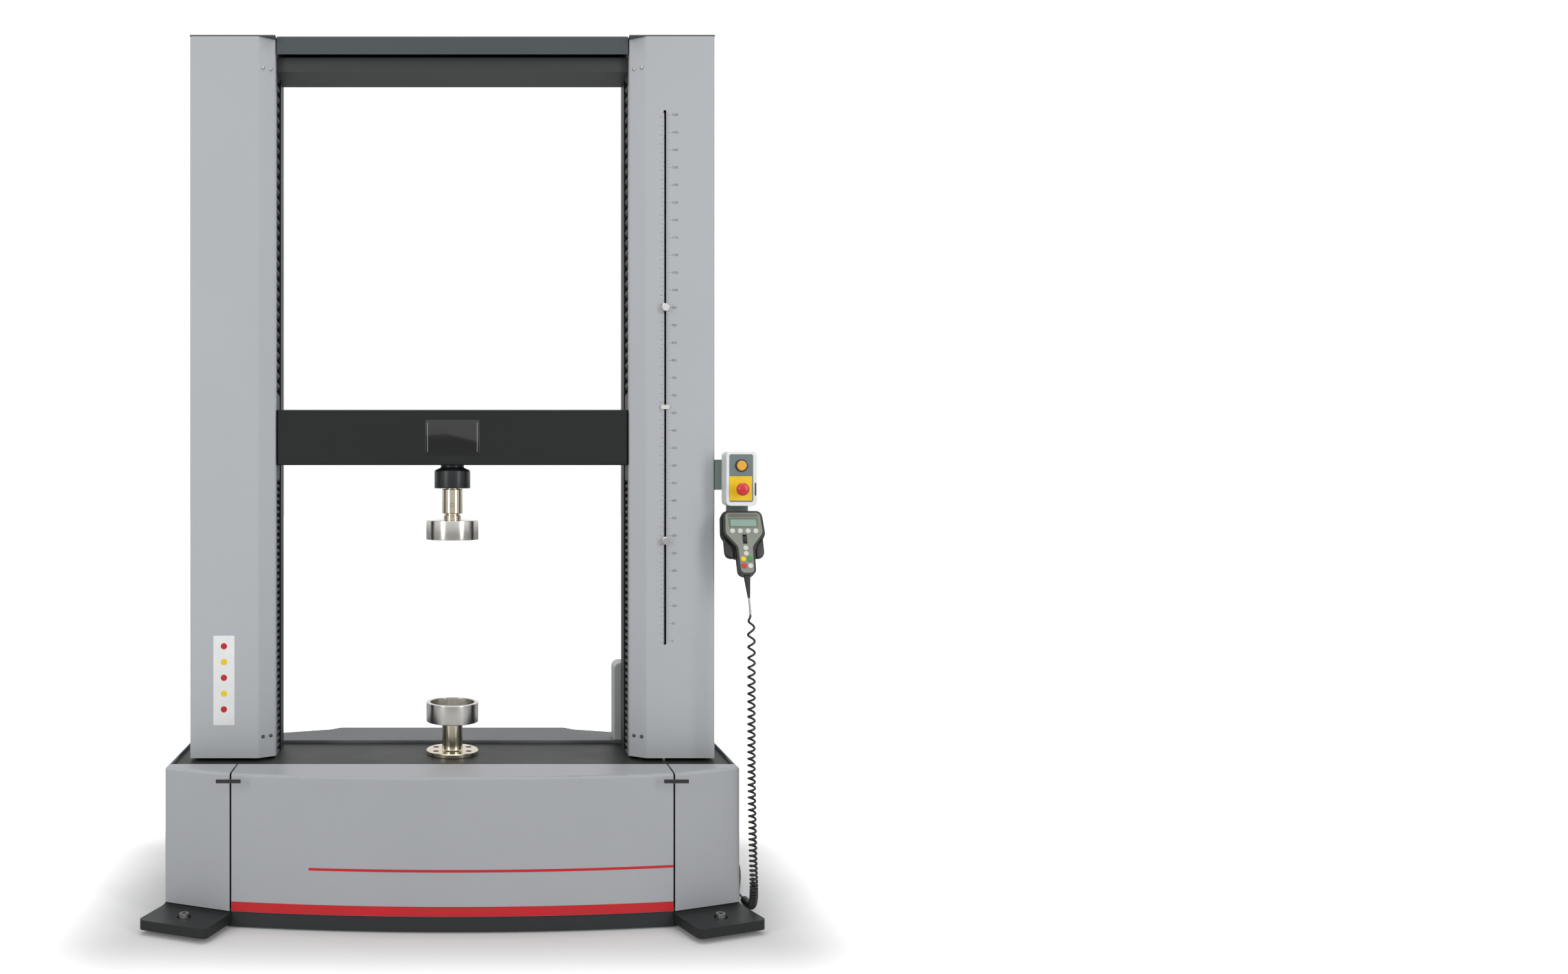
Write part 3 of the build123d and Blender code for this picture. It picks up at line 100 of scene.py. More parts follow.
def srgb(red, green, blue):
    """A colour of 0 to 255 as the photograph shows it, on the renderer's own scale."""
    steps = np.array([red, green, blue]) / 255
    linear = np.where(steps <= 0.04045, steps / 12.92, ((steps + 0.055) / 1.055) ** 2.4)
    return (*linear.tolist(), 1.0)


def tint(colour, amount):
    """A colour made lighter or darker by a factor."""
    return (*(min(1.0, part * amount) for part in colour[:3]), 1.0)


class Amount:
    """A node's output, so that shader sums are written as sums."""

    def __init__(self, tree, socket):
        self.tree = tree
        self.socket = socket

    def worked(self, operation, first, second):
        node = self.tree.nodes.new("ShaderNodeMath")
        node.operation = operation
        for socket, value in zip(node.inputs, (first, second)):
            if isinstance(value, Amount):
                self.tree.links.new(value.socket, socket)
            else:
                socket.default_value = value
        return Amount(self.tree, node.outputs[0])

    def __add__(self, other):
        return self.worked("ADD", self, other)

    def __radd__(self, other):
        return self.worked("ADD", other, self)

    def __sub__(self, other):
        return self.worked("SUBTRACT", self, other)

    def __rsub__(self, other):
        return self.worked("SUBTRACT", other, self)

    def __mul__(self, other):
        return self.worked("MULTIPLY", self, other)

    def __rmul__(self, other):
        return self.worked("MULTIPLY", other, self)

    def __pow__(self, other):
        return self.worked("POWER", self, other)

    def __gt__(self, other):
        return self.worked("GREATER_THAN", self, other)

    def __lt__(self, other):
        return self.worked("LESS_THAN", self, other)


class Finish:
    """One material: its shader's plain values, then whatever varies over the piece."""

    def __init__(self, name, slot, colour, roughness, metallic=0.0, **others):
        self.slot = slot
        self.colour = colour
        self.material = bpy.data.materials.new(name)
        self.material.use_nodes = True
        self.tree = self.material.node_tree
        self.shader = self.tree.nodes["Principled BSDF"]
        plain = {"Base Color": colour, "Roughness": roughness, "Metallic": metallic}
        for socket, value in (plain | others).items():
            self.shader.inputs[socket.replace("_", " ")].default_value = value
        self.place = self.node("ShaderNodeTexCoord", output="Object")

    def feed(self, socket, value):
        """Links an amount to a socket, or sets a plain value on it."""
        if isinstance(value, Amount):
            self.tree.links.new(value.socket, socket)
        else:
            socket.default_value = value

    def node(self, kind, settings=None, values=None, output=0):
        """Any node: its settings and stops first, then its sockets' values or links."""
        node = self.tree.nodes.new(kind)
        for setting, value in (settings or {}).items():
            setattr(node, setting, value)
        for socket, value in (values or {}).items():
            self.feed(node.inputs[socket], value)
        return Amount(self.tree, node.outputs[output])

    def along(self, axis):
        """The piece's own X, Y or Z, in metres."""
        return self.node("ShaderNodeSeparateXYZ", values={0: self.place}, output=axis)

    def noise(self, scale, detail=2.0, place=None, stretch=None):
        """Noise from 0 to 1, with the given number of grains to a metre."""
        place = place or self.place
        if stretch:
            place = self.node("ShaderNodeMapping", values={"Vector": place, "Scale": stretch})
        return self.node("ShaderNodeTexNoise", values={"Vector": place, "Scale": scale, "Detail": detail})

    def mix(self, factor, first, second):
        """Two colours blended by an amount from 0 to 1."""
        return self.node("ShaderNodeMix", {"data_type": "RGBA", "clamp_factor": True},
                         {0: factor, 6: first, 7: second}, output=2)

    def colours(self, factor, first, second):
        """The surface's colour, blended between two."""
        self.feed(self.shader.inputs["Base Color"], self.mix(factor, first, second))

    def dullness(self, amount):
        """The roughness over the surface."""
        self.feed(self.shader.inputs["Roughness"], amount)

    def relief(self, height, depth):
        """Bump of the given depth in metres."""
        bump = self.node("ShaderNodeBump", values={"Height": height, "Distance": depth})
        self.feed(self.shader.inputs["Normal"], bump)


def powder_coat(name, slot, colour, roughness=0.42, peel=0.00012):
    """Baked powder: faint clouds, orange peel of about 2 mm and a dust of fine flecks."""
    finish = Finish(name, slot, colour, roughness, Specular_IOR_Level=0.4)
    clouds = finish.noise(3.0, 4.0)
    flecks = finish.noise(1400.0, 1.0)
    finish.colours(clouds * 0.7 + flecks * 0.3, tint(colour, 0.93), tint(colour, 1.06))
    finish.dullness(clouds * 0.12 + (roughness - 0.06))
    finish.relief(finish.noise(480.0, 2.0), peel)
    return finish


def grained_paint(name, slot, colour, grain=900.0, depth=0.0003, roughness=0.5):
    """Textured black paint: raised grain whose tops are painted paler as a painted highlight, rubbed in
    soft patches.
    """
    finish = Finish(name, slot, colour, roughness, Specular_IOR_Level=0.35)
    grains_and_painted_glints = finish.noise(grain, 3.0)
    rubbed = finish.noise(6.0, 5.0)
    # Painted highlight: the raised tops of the grain are coloured up to 1.45 times paler.
    finish.colours(grains_and_painted_glints * 0.6 + rubbed * 0.4, tint(colour, 0.7), tint(colour, 1.45))
    finish.dullness(rubbed * 0.2 + (roughness - 0.1))
    finish.relief(grains_and_painted_glints, depth)
    return finish


def turned_metal(name, slot, colour, roughness, depth=0.00003):
    """Metal off the lathe: fine rings that follow the radius and the height of the axis."""
    finish = Finish(name, slot, colour, roughness, 1.0)
    x, y, z = (finish.along(axis) for axis in range(3))
    radius = (x * x + y * y) ** 0.5
    rings_at = finish.node("ShaderNodeCombineXYZ", values={0: radius * 1500, 1: z * 1500})
    rings = finish.noise(1.0, 2.0, rings_at)
    stain = finish.noise(22.0, 4.0)
    finish.colours(rings * 0.5 + stain * 0.5, tint(colour, 0.82), tint(colour, 1.12))
    finish.dullness(rings * 0.12 + stain * 0.08 + (roughness - 0.1))
    finish.relief(rings, depth)
    return finish


def ground_metal(name, slot, colour, roughness):
    """Ground or plated metal: short scratches across an even surface."""
    finish = Finish(name, slot, colour, roughness, 1.0)
    scratches = finish.noise(160.0, 5.0, stretch=(1.0, 1.0, 14.0))
    finish.colours(scratches, tint(colour, 0.88), tint(colour, 1.08))
    finish.dullness(scratches * 0.14 + (roughness - 0.07))
    return finish


def moulding(name, slot, colour, roughness=0.45, grain=1100.0, depth=0.00006, **others):
    """Moulded plastic: fine spark-eroded grain and a slow drift of tone."""
    finish = Finish(name, slot, colour, roughness, **others)
    drift = finish.noise(30.0, 3.0)
    texture = finish.noise(grain, 1.0)
    finish.colours(drift * 0.6 + texture * 0.4, tint(colour, 0.9), tint(colour, 1.1))
    finish.dullness(texture * 0.1 + drift * 0.1 + (roughness - 0.1))
    finish.relief(texture, depth)
    return finish


def pleated_cloth(name, slot, colour):
    """Coated cloth: a plain weave of threads along Y and Z under a dull skin."""
    finish = Finish(name, slot, colour, 0.55)
    threads = [finish.node("ShaderNodeMath", {"operation": "SINE"}, {0: finish.along(axis) * 9000.0})
               for axis in (1, 2)]
    weave = threads[0] * threads[1] * 0.5 + 0.5
    dust = finish.noise(40.0, 5.0)
    finish.colours(dust * 0.7 + weave * 0.3, tint(colour, 0.6), tint(colour, 1.7))
    finish.relief(weave, 0.00008)
    return finish


def cord_sheath(name, slot, colour, pale):
    """Smooth sheath; the first stretch of the cord, up to the curl, is pale."""
    finish = Finish(name, slot, colour, 0.34)
    reach = finish.node("ShaderNodeAttribute", {"attribute_name": "reach"}, output="Fac")
    smear = finish.noise(120.0, 3.0)
    finish.colours(reach < 0.046, colour, pale)
    finish.dullness(smear * 0.2 + 0.26)
    return finish


finishes = {
    "column": powder_coat("column_powder_coat", "cover_paint", srgb(182, 186, 190)),
    # The base covers take the columns' paint made darker: painted shade for the lower, less lit part of the
    # machine.
    "cover": powder_coat("cover_coat_with_painted_shade", "cover_paint", srgb(172, 175, 179)),
    "panel": powder_coat("rear_panel_coat", "dark_paint", srgb(85, 88, 90), 0.45),
    "cap": powder_coat("top_cap_coat", "dark_paint", srgb(70, 78, 81), 0.45),
    "beam": powder_coat("beam_coat", "dark_paint", srgb(58, 61, 60), 0.5),
    "table": grained_paint("table_coat", "table_paint", srgb(22, 27, 24), 600.0),
    "head": grained_paint("crosshead_coat", "black_steel", srgb(14, 19, 18), roughness=0.6),
    "black": grained_paint("black_steel_coat", "black_steel", srgb(26, 29, 29), 1200.0, 0.0001),
    "primer": powder_coat("frame_primer", "frame_paint", srgb(40, 42, 44), 0.55),
    "cell": grained_paint("load_cell_black_oxide", "black_steel", srgb(34, 38, 40), 1500.0, 0.00002, 0.32),
    "steel": turned_metal("turned_steel", "polished_steel", srgb(205, 203, 198), 0.2),
    "warm_steel": turned_metal("turned_adapter_steel", "polished_steel", srgb(206, 196, 176), 0.18),
    "chrome": ground_metal("hard_chrome", "chrome", srgb(214, 214, 214), 0.16),
    "zinc": ground_metal("zinc_plate", "chrome", srgb(170, 170, 166), 0.38),
    "alloy": turned_metal("turned_alloy", "pulley_alloy", srgb(196, 198, 200), 0.35),
    "belt": moulding("belt_rubber", "belt_rubber", srgb(24, 24, 24), 0.7),
    "screen": pleated_cloth("pleated_cloth", "screen_black", srgb(26, 27, 27)),
    "black_plastic": moulding("black_moulding", "black_plastic", srgb(30, 32, 32), 0.42),
    "boot": moulding("boot_rubber", "black_plastic", srgb(26, 27, 27), 0.5),
    "bracket": powder_coat("bracket_coat", "grey_green", srgb(115, 128, 120)),
    "inlay": moulding("inlay_foil", "grey_green", srgb(112, 126, 126), 0.4),
    "box": moulding("box_moulding", "pale_plastic", srgb(222, 224, 224), 0.4),
    "rim": moulding("box_rim_moulding", "pale_plastic", srgb(238, 240, 240), 0.35),
    "housing": powder_coat("housing_coat", "pale_plastic", srgb(182, 187, 184)),
    "face": moulding("handset_face_moulding", "face_plastic", srgb(134, 140, 128), 0.42),
    "display": moulding("display_glass", "face_plastic", srgb(146, 174, 162), 0.12, 2500.0, 0.0),
    "red": moulding("red_moulding", "red_plastic", srgb(214, 36, 40), 0.25, Coat_Weight=0.4),
    "yellow": moulding("yellow_moulding", "yellow_plastic", srgb(246, 208, 22), 0.35),
    "amber": moulding("amber_lens", "amber_plastic", srgb(238, 172, 40), 0.2, Coat_Weight=0.5),
    "green": moulding("green_moulding", "green_plastic", srgb(70, 150, 74), 0.3),
    "white": moulding("white_moulding", "white_plastic", srgb(216, 216, 210), 0.32),
    "band": powder_coat("red_band_paint", "red_plastic", srgb(200, 32, 40), 0.35),
    "ink": moulding("printed_ink", "black_plastic", srgb(70, 72, 76), 0.6),
    "surround": moulding("display_surround", "face_plastic", srgb(104, 110, 100), 0.35),
    "head_band": moulding("head_band_moulding", "face_plastic", srgb(112, 112, 102), 0.4),
    "gloss": moulding("badge_lacquer", "black_steel", srgb(18, 19, 20), 0.12, 2500.0, 0.0, Coat_Weight=0.5),
    "cord": cord_sheath("cord_sheath", "cord_rubber", srgb(22, 22, 23), srgb(176, 180, 178)),
}


def dress(finish, *nodes):
    """Gives CAD nodes a finish; their shapes stay as they are."""
    for name in nodes:
        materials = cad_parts[name].data.materials
        materials.clear()
        materials.append(finishes[finish].material)


# Meshes: a patch is a list of points, the four-cornered faces between them and its flat lids.


def patch(grid, around=True, along=False, lids=False):
    """Faces between neighbours in a grid of points; around joins its columns, along its rows."""
    rows, columns = grid.shape[:2]
    index = np.arange(rows * columns).reshape(rows, columns)
    ends = [index[0], index[-1]] if lids else []
    if along:
        index = np.vstack([index, index[:1]])
    if around:
        index = np.hstack([index, index[:, :1]])
    corners = [index[:-1, :-1], index[:-1, 1:], index[1:, 1:], index[1:, :-1]]
    return grid.reshape(-1, 3), np.stack(corners, axis=-1).reshape(-1, 4), ends


def joined(name, patches):
    """One mesh from several patches, with each patch's numbers counted on from the last."""
    points, faces, count = [], [], 0
    for patch_points, quads, ends in patches:
        points.append(patch_points)
        faces += (quads + count).tolist() + [(end + count).tolist() for end in ends]
        count += len(patch_points)
    mesh = bpy.data.meshes.new(name)
    mesh.from_pydata(np.vstack(points) * 0.001, [], faces)
    return mesh


def finished(mesh, finish, body, angle=35.0):
    """A piece from a mesh in metres: doubles merged, faces turned outwards, sharp edges kept."""
    shape = bmesh.new()
    shape.from_mesh(mesh)
    bmesh.ops.remove_doubles(shape, verts=shape.verts, dist=2e-6)
    bmesh.ops.recalc_face_normals(shape, faces=shape.faces)
    shape.to_mesh(mesh)
    shape.free()
    mesh.shade_smooth()
    mesh.set_sharp_from_angle(angle=math.radians(angle))
    mesh.materials.append(finishes[finish].material)
    piece = bpy.data.objects.new(mesh.name, mesh)
    bpy.context.scene.collection.objects.link(piece)
    if isinstance(body, str):
        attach(piece, body)
    else:
        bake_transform(piece)
    return piece


def make(name, finish, body, *patches, angle=35.0):
    """A piece from patches in millimetres, with its finish, on its body."""
    return finished(joined(name, patches), finish, body, angle)


def rounded(points, radius, closed=True, steps=6):
    """An outline whose corners are quadratic curves that begin and end a radius away."""
    corners = np.array(points, float)
    radius = np.broadcast_to(radius, len(corners))[:, None]

    def towards(others):
        way = others - corners
        return corners + way / np.linalg.norm(way, axis=1, keepdims=True) * radius

    before, after = towards(np.roll(corners, 1, 0)), towards(np.roll(corners, -1, 0))
    t = np.linspace(0, 1, steps)[None, :, None]
    eased = (1 - t) ** 2 * before[:, None] + 2 * t * (1 - t) * corners[:, None] + t**2 * after[:, None]
    if not closed:
        eased[0], eased[-1] = corners[0], corners[-1]
    return eased.reshape(-1, corners.shape[1])


def turned(profile, at=(0, 0, 0), right=RIGHT, up=REAR, segments=96, ring=False):
    """A turned shape: at + r cos a right + r sin a up + h (right x up), for radius r and height h."""
    profile = np.array(profile, float)
    right, up = np.array(right), np.array(up)
    turn = np.linspace(0, 2 * np.pi, segments, endpoint=False)
    spoke = np.cos(turn)[:, None] * right + np.sin(turn)[:, None] * up
    grid = profile[:, 0, None, None] * spoke + profile[:, 1, None, None] * np.cross(right, up)
    return patch(grid + np.array(at, float), along=ring)


def raised(outline, levels, at=(0, 0, 0), right=RIGHT, up=UP):
    """A moulding: the outline drawn in by each level's inset and lifted by its height."""
    outline = np.array(outline, float)
    levels = np.array(levels, float)
    run = np.roll(outline, -1, 0) - np.roll(outline, 1, 0)
    run /= np.linalg.norm(run, axis=1, keepdims=True)
    x, y = outline.T
    hand = np.sign(np.sum(x * np.roll(y, -1) - np.roll(x, -1) * y))
    inward = hand * np.stack([-run[:, 1], run[:, 0]], axis=1)
    flat = outline + levels[:, 0, None, None] * inward
    right, up = np.array(right), np.array(up)
    lift = levels[:, 1, None, None] * np.cross(right, up)
    grid = flat[..., :1] * right + flat[..., 1:] * up + lift + np.array(at, float)
    return patch(grid, lids=True)


def softened(thick, edge):
    """Levels of a plate whose front edge is a quarter round."""
    turn = np.linspace(0, np.pi / 2, 5)
    curve = np.stack([edge * (1 - np.cos(turn)), thick - edge + edge * np.sin(turn)], axis=1)
    return np.vstack([[0, 0], curve])


def rectangle(x, y, corner):
    """A rectangle between two limits each way, with eased corners."""
    return rounded([(x[0], y[0]), (x[1], y[0]), (x[1], y[1]), (x[0], y[1])], corner)


def tube(path, spokes, radius, sides=12):
    """A tube: each ring is c + r (cos a n + sin a b), n a spoke squared to the path and b = t x n."""
    way = np.gradient(path, axis=0)
    way /= np.linalg.norm(way, axis=1, keepdims=True)
    spokes = spokes - np.sum(spokes * way, axis=1, keepdims=True) * way
    spokes /= np.linalg.norm(spokes, axis=1, keepdims=True)
    side = np.cross(way, spokes)
    turn = np.linspace(0, 2 * np.pi, sides, endpoint=False)[None, :, None]
    ring = np.cos(turn) * spokes[:, None] + np.sin(turn) * side[:, None]
    return patch(path[:, None] + radius * ring, lids=True)


def camera():
    """The photograph's camera: level, in front of the machine, with the picture's own shift."""
    data = bpy.data.cameras.new("camera")
    data.sensor_width = 36.0
    data.lens = 28.31
    data.shift_x = 0.2115
    data.shift_y = -0.0103
    data.clip_end = 60.0
    viewer = bpy.data.objects.new("camera", data)
    viewer.location = (0.0, -3.612, 1.235)
    viewer.rotation_euler = (math.radians(90), 0, 0)
    bpy.context.scene.collection.objects.link(viewer)
    bpy.context.scene.camera = viewer


def smooth_route(points):
    """The route's own NURBS line, read back as a chain of points in millimetres."""
    data = bpy.data.curves.new("route", "CURVE")
    data.dimensions = "3D"
    data.resolution_u = 24
    spline = data.splines.new("NURBS")
    spline.points.add(len(points) - 1)
    spline.points.foreach_set("co", np.hstack([points, np.ones((len(points), 1))]).ravel())
    spline.order_u = 3
    spline.use_endpoint_u = True
    holder = bpy.data.objects.new("route", data)
    mesh = bpy.data.meshes.new_from_object(holder)
    line = np.empty(len(mesh.vertices) * 3)
    mesh.vertices.foreach_get("co", line)
    bpy.data.objects.remove(holder)
    return line.reshape(-1, 3)


def handset_cord():
    """The curly cord: c(s) + A(s) (cos p(s) n + sin p(s) b), with A nothing on the lead and tail."""
    line = smooth_route(np.array(LEAD_POINTS + CURL_POINTS + TAIL_POINTS))
    reach = np.concatenate([[0], np.cumsum(np.linalg.norm(np.diff(line, axis=0), axis=1))])
    lead = 46.0
    curl_end = reach[-1] - 246.0
    s = np.linspace(0, reach[-1], 20000)
    pitch = np.interp(s - lead, [0, 40, 80, 130, 190, 260, 400, 520, 640, 730, 780, 940],
                      [48, 40, 32, 27, 23, 20.5, 18, 17, 15, 12, 8.2, 7.6])
    winding = (s > lead) & (s < curl_end)
    phase = np.concatenate([[0], np.cumsum(2 * np.pi * np.diff(s) / pitch[1:] * winding[1:])])
    rate = phase / (2 * np.pi) * 26 + s / 2.5
    s_even = np.interp(np.arange(0, rate[-1]), rate, s)
    s_even[-1] = reach[-1]
    phase = np.interp(s_even, s, phase)
    centre = np.stack([np.interp(s_even, reach, line[:, axis]) for axis in range(3)], axis=1)
    way = np.gradient(centre, axis=0)
    way /= np.linalg.norm(way, axis=1, keepdims=True)
    last = np.clip((s_even - (reach[-1] - 60)) / 30, 0, 1)[:, None]
    square = np.array(REAR) - way[:, 1:2] * way
    first = (1 - last) * np.cross(way, np.array(RIGHT)) + last * square
    first /= np.linalg.norm(first, axis=1, keepdims=True)
    second = np.cross(way, first)
    spoke = np.cos(phase)[:, None] * first + np.sin(phase)[:, None] * second
    opening = np.clip((s_even - lead) / 26, 0, 1)
    closing = np.clip((curl_end - s_even) / 18, 0, 1)
    width = HELIX_R * (opening**2 * (3 - 2 * opening)) * (closing**2 * (3 - 2 * closing))
    path = centre + width[:, None] * spoke
    mesh = joined("handset_cord", [tube(path, spoke, CORD_R, 10)])
    run = mesh.attributes.new("reach", "FLOAT", "POINT")
    run.data.foreach_set("value", np.repeat(s_even * 0.001, 10))
    pulled = ("handset", "frame", (0.8126, -0.234, 0.886), (0.816, -0.247, 0.25))
    piece = finished(mesh, "cord", pulled, 60.0)
    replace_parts(piece, "cord_curl", "cord_leads")
    path * 0.001


def pleated_screens():
    """Four screens: x = ridge + depth (1 - arccos(k cos w) / pi), a softened zigzag up the slot."""
    spans = {
        "upper": (HEAD_TOP + SCREEN_END, BEAM_BOTTOM - 0.3, 30.0),
        "lower": (TABLE_TOP + 0.3, HEAD_BOTTOM - SCREEN_END, 19.0),
    }
    half_thick, ridge, depth = 0.35, 510.6, 7.9
    across = np.concatenate([np.linspace(-50.3, 42.3, 8), np.linspace(42.3, -50.3, 8)])
    face = np.repeat([half_thick, -half_thick], 8)
    for side, hand in (("right", 1), ("left", -1)):
        for level, (low, high, pitch) in spans.items():
            count = max(2, round((high - low) / pitch))
            t = np.linspace(0, 1, count * 14 + 1)
            fold = np.arccos(0.99 * np.cos(2 * np.pi * count * t)) / np.pi
            x = ridge + depth * fold
            z = low + (high - low) * t
            slope = np.stack([np.gradient(z), -np.gradient(x)], axis=1)
            slope /= np.linalg.norm(slope, axis=1, keepdims=True)
            points = [
                hand * (x[:, None] + slope[:, :1] * face),
                np.broadcast_to(across, (len(t), 16)),
                np.clip(z[:, None] + slope[:, 1:] * face, low, high),
            ]
            bodies = ("crosshead", "frame") if level == "upper" else ("frame", "crosshead")
            ends = (hand * 0.51, 0.0, low * 0.001), (hand * 0.51, 0.0, high * 0.001)
            piece = make(f"{side}_{level}_screen", "screen", (*bodies, *ends),
                         patch(np.stack(points, axis=-1), lids=True), angle=50.0)
            if side == "right" and level == "upper":
                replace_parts(piece, "column_bellows")


def cup(low, flip):
    """A platen: a cup with a broken edge, turned over where flip is -1."""
    outer, inner, well = 76.5, 64.5, 16
    levels = [(0, 0), (outer, 0), (outer, PLATEN_TALL), (inner, PLATEN_TALL), (inner, well), (0, well)]
    profile = rounded(levels, [0, 2.2, 1.2, 1.0, 2.0, 0], closed=False)
    start = low if flip > 0 else low + PLATEN_TALL
    return turned(profile * (1, flip) + (0, start), segments=144)


def bars(lows, highs):
    """Plain bars, one for each pair of a low and a high corner, whose points mix the two."""
    lows, highs = np.atleast_2d(np.array(lows, float)), np.atleast_2d(np.array(highs, float))
    pick = np.array([(x, y, z) for x in (0, 1) for y in (0, 1) for z in (0, 1)])
    points = np.where(pick[None], highs[:, None], lows[:, None])
    quads = np.array([(0, 1, 3, 2), (4, 6, 7, 5), (0, 4, 5, 1), (2, 3, 7, 6), (0, 2, 6, 4), (1, 5, 7, 3)])
    count = np.arange(len(lows))[:, None, None] * 8
    return points.reshape(-1, 3), (quads + count).reshape(-1, 4), []


def pierced(x, z, hole, radius, front, back):
    """A plate with a round hole: each ray from the hole's centre meets the nearest of four sides."""
    turn = np.linspace(0, 2 * np.pi, 120, endpoint=False)
    sides = np.array([(x[i] - hole[0], z[j] - hole[1]) for i in (0, 1) for j in (0, 1)])
    turn = np.sort(np.concatenate([turn, np.arctan2(sides[:, 1], sides[:, 0]) % (2 * np.pi)]))
    way = np.stack([np.cos(turn), np.sin(turn)], axis=1)
    room = np.where(way > 0, (x[1] - hole[0], z[1] - hole[1]), (hole[0] - x[0], hole[1] - z[0]))
    far = np.min(room / np.maximum(np.abs(way), 1e-9), axis=1)
    edge = 0.15

    def ring(reach, y):
        flat = reach[:, None] * way + hole
        return np.stack([flat[:, 0], np.full(len(way), y), flat[:, 1]], axis=1)

    near = np.full(len(way), radius)
    outside = [ring(far, back), ring(far, front + edge), ring(far - edge, front)]
    return patch(np.stack([*outside, ring(near, front), ring(near, back)]), along=True)


def stop_box():
    """The box's inlay and yellow plate, the domed red head and the amber lens in its dark ring."""
    inlay_front = BOX_FRONT_Y + 0.5
    plate_front = BOX_FRONT_Y - 0.1
    for name, z, hole, radius in (("inlay_lower", (1148.0, 1222.0), STOP_BUTTON, 12.2),
                                  ("inlay_upper", (1222.0, 1281.2), POWER_BUTTON, 14.6)):
        inlay = pierced((773.2, 839.4), z, hole, radius, inlay_front, BOX_FRONT_Y + 1.1)
        make(name, "inlay", "frame", inlay)
    plate = pierced((774.0, 836.6), (1152, 1220), STOP_BUTTON, 12.4, plate_front, inlay_front)
    make("stop_plate", "yellow", "frame", plate)

    def round_piece(profile, button, y, **others):
        return turned(profile, (button[0], y, button[1]), RIGHT, UP, **others)

    dome = rounded([(0, 0), (17.2, 0), (18, 4), (18, 9.6), (13.4, 16.2), (0, 17)],
                   [0, 1.2, 2, 3.6, 6, 0], closed=False)
    head = make("stop_head", "red", "estop_cap", round_piece(dome, STOP_BUTTON, PLUNGER_END_Y), angle=60)
    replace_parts(head, "estop_head")
    collar = rounded([(12.6, 0), (16.4, 0), (16.4, 5.5), (14.6, 8.5), (12.6, 8.5)], [0, 0, 1.6, 1.4, 0])
    make("stop_collar", "yellow", "frame", round_piece(collar, STOP_BUTTON, plate_front, ring=True))
    ring = rounded([(14.8, 0), (17.4, 0), (17.4, 2.6), (14.8, 3.4)], [0, 0, 0.8, 0.6])
    make("lens_ring", "black_plastic", "frame", round_piece(ring, POWER_BUTTON, inlay_front, ring=True))
    strip = bars([(844.0, BOX_FRONT_Y - 0.3, 1166)], [(848.4, BOX_FRONT_Y + 0.1, 1201)])
    make("side_strip", "ink", "frame", strip)


def handset():
    """Plates on the handset's face, display, surround and head band, and the holder's two lobes."""
    facing = np.array(FACING)
    face = np.array(HANDSET_AT) + 2.0 * facing
    for name, finish, x, z, corner, thick, start in (
        ("display_surround", "surround", 41, (34, 61), 2.5, 0.5, -0.2),
        ("display_glass", "display", 36, (37.5, 57.5), 1.2, 0.35, 0.2),
        ("head_band", "head_band", 42, (64, 74), 2.0, 0.5, -0.2),
    ):
        plate = raised(rectangle((-x, x), z, corner), softened(thick, thick * 0.5), face + start * facing,
                       RIGHT, HANDSET_UP)
        make(name, finish, "handset", plate)
    behind = np.array(HANDSET_AT) - 27.0 * facing
    for name, hand in (("left_lobe", -1), ("right_lobe", 1)):
        corners = np.array([(38, 24), (55, 24), (55, -50), (30, -50), (30, -24)]) * (hand, 1)
        lobe = raised(rounded(corners, [2, 8, 20, 3, 8]), softened(15, 4), behind, RIGHT, HANDSET_UP)
        make(name, "black_plastic", "frame", lobe)


def marks(z, start, reach):
    """Thin printed marks that run a given reach across the column's front from a start."""
    ends = np.sort([np.full(len(z), start), start + reach], axis=0)
    low = np.stack([ends[0], np.full(len(z), COLUMN_FRONT_Y - 0.2), z - 0.35], axis=1)
    high = np.stack([ends[1], np.full(len(z), COLUMN_FRONT_Y - 0.02), z + 0.35], axis=1)
    return bars(low, high)


def printed(words, size, at):
    """Flat figures as a patch, read from the font's own mesh."""
    data = bpy.data.curves.new("number", "FONT")
    data.body = words
    data.size = size
    data.align_y = "CENTER"
    holder = bpy.data.objects.new("number", data)
    mesh = bpy.data.meshes.new_from_object(holder)
    flat = np.empty(len(mesh.vertices) * 3)
    mesh.vertices.foreach_get("co", flat)
    x, up, _ = flat.reshape(-1, 3).T
    points = np.stack([at[0] + x, np.full(len(x), at[1]), at[2] + up], axis=1)
    faces = [np.array(face.vertices) for face in mesh.polygons]
    bpy.data.objects.remove(holder)
    return points, np.empty((0, 4), int), faces


def scale():
    """Travel scale beside the slot: marks each 5 mm on the right, half inches on the left, numbers."""
    start, end, aside = 745, 2260, 6.2
    z = np.arange(start, end, 5.0)
    long = np.isclose(z % 50, 0)
    reach = np.where(long, 11.0, np.where(np.isclose(z % 10, 0), 6.5, 3.5))
    inches = np.arange(start, end, 12.7)
    left_reach = np.where(np.arange(len(inches)) % 2, 4.5, 9.0)
    left_marks = marks(inches, SCALE_X - aside, -left_reach)
    make("scale_ticks", "ink", "frame", marks(z, SCALE_X + aside, reach), left_marks)
    numbers = [printed(str(number * 50), 9.5, (SCALE_X + 19, COLUMN_FRONT_Y - 0.12, height))
               for number, height in enumerate(z[long])]
    make("scale_numbers", "ink", "frame", *numbers)


def badge():
    """Blank glossy plate on the crosshead, with a silver line up each side."""
    plate = rectangle((-78, 78), (1282, 1382), 4)
    make("badge_plate", "gloss", "crosshead", raised(plate, softened(1.6, 0.8), (0, HEAD_FRONT_Y, 0)))
    front, back = HEAD_FRONT_Y - 2.0, HEAD_FRONT_Y - 1.4
    lines = bars([(-72, front, 1290), (70.6, front, 1290)], [(-70.6, back, 1374), (72, back, 1374)])
    make("badge_lines", "zinc", "crosshead", lines)


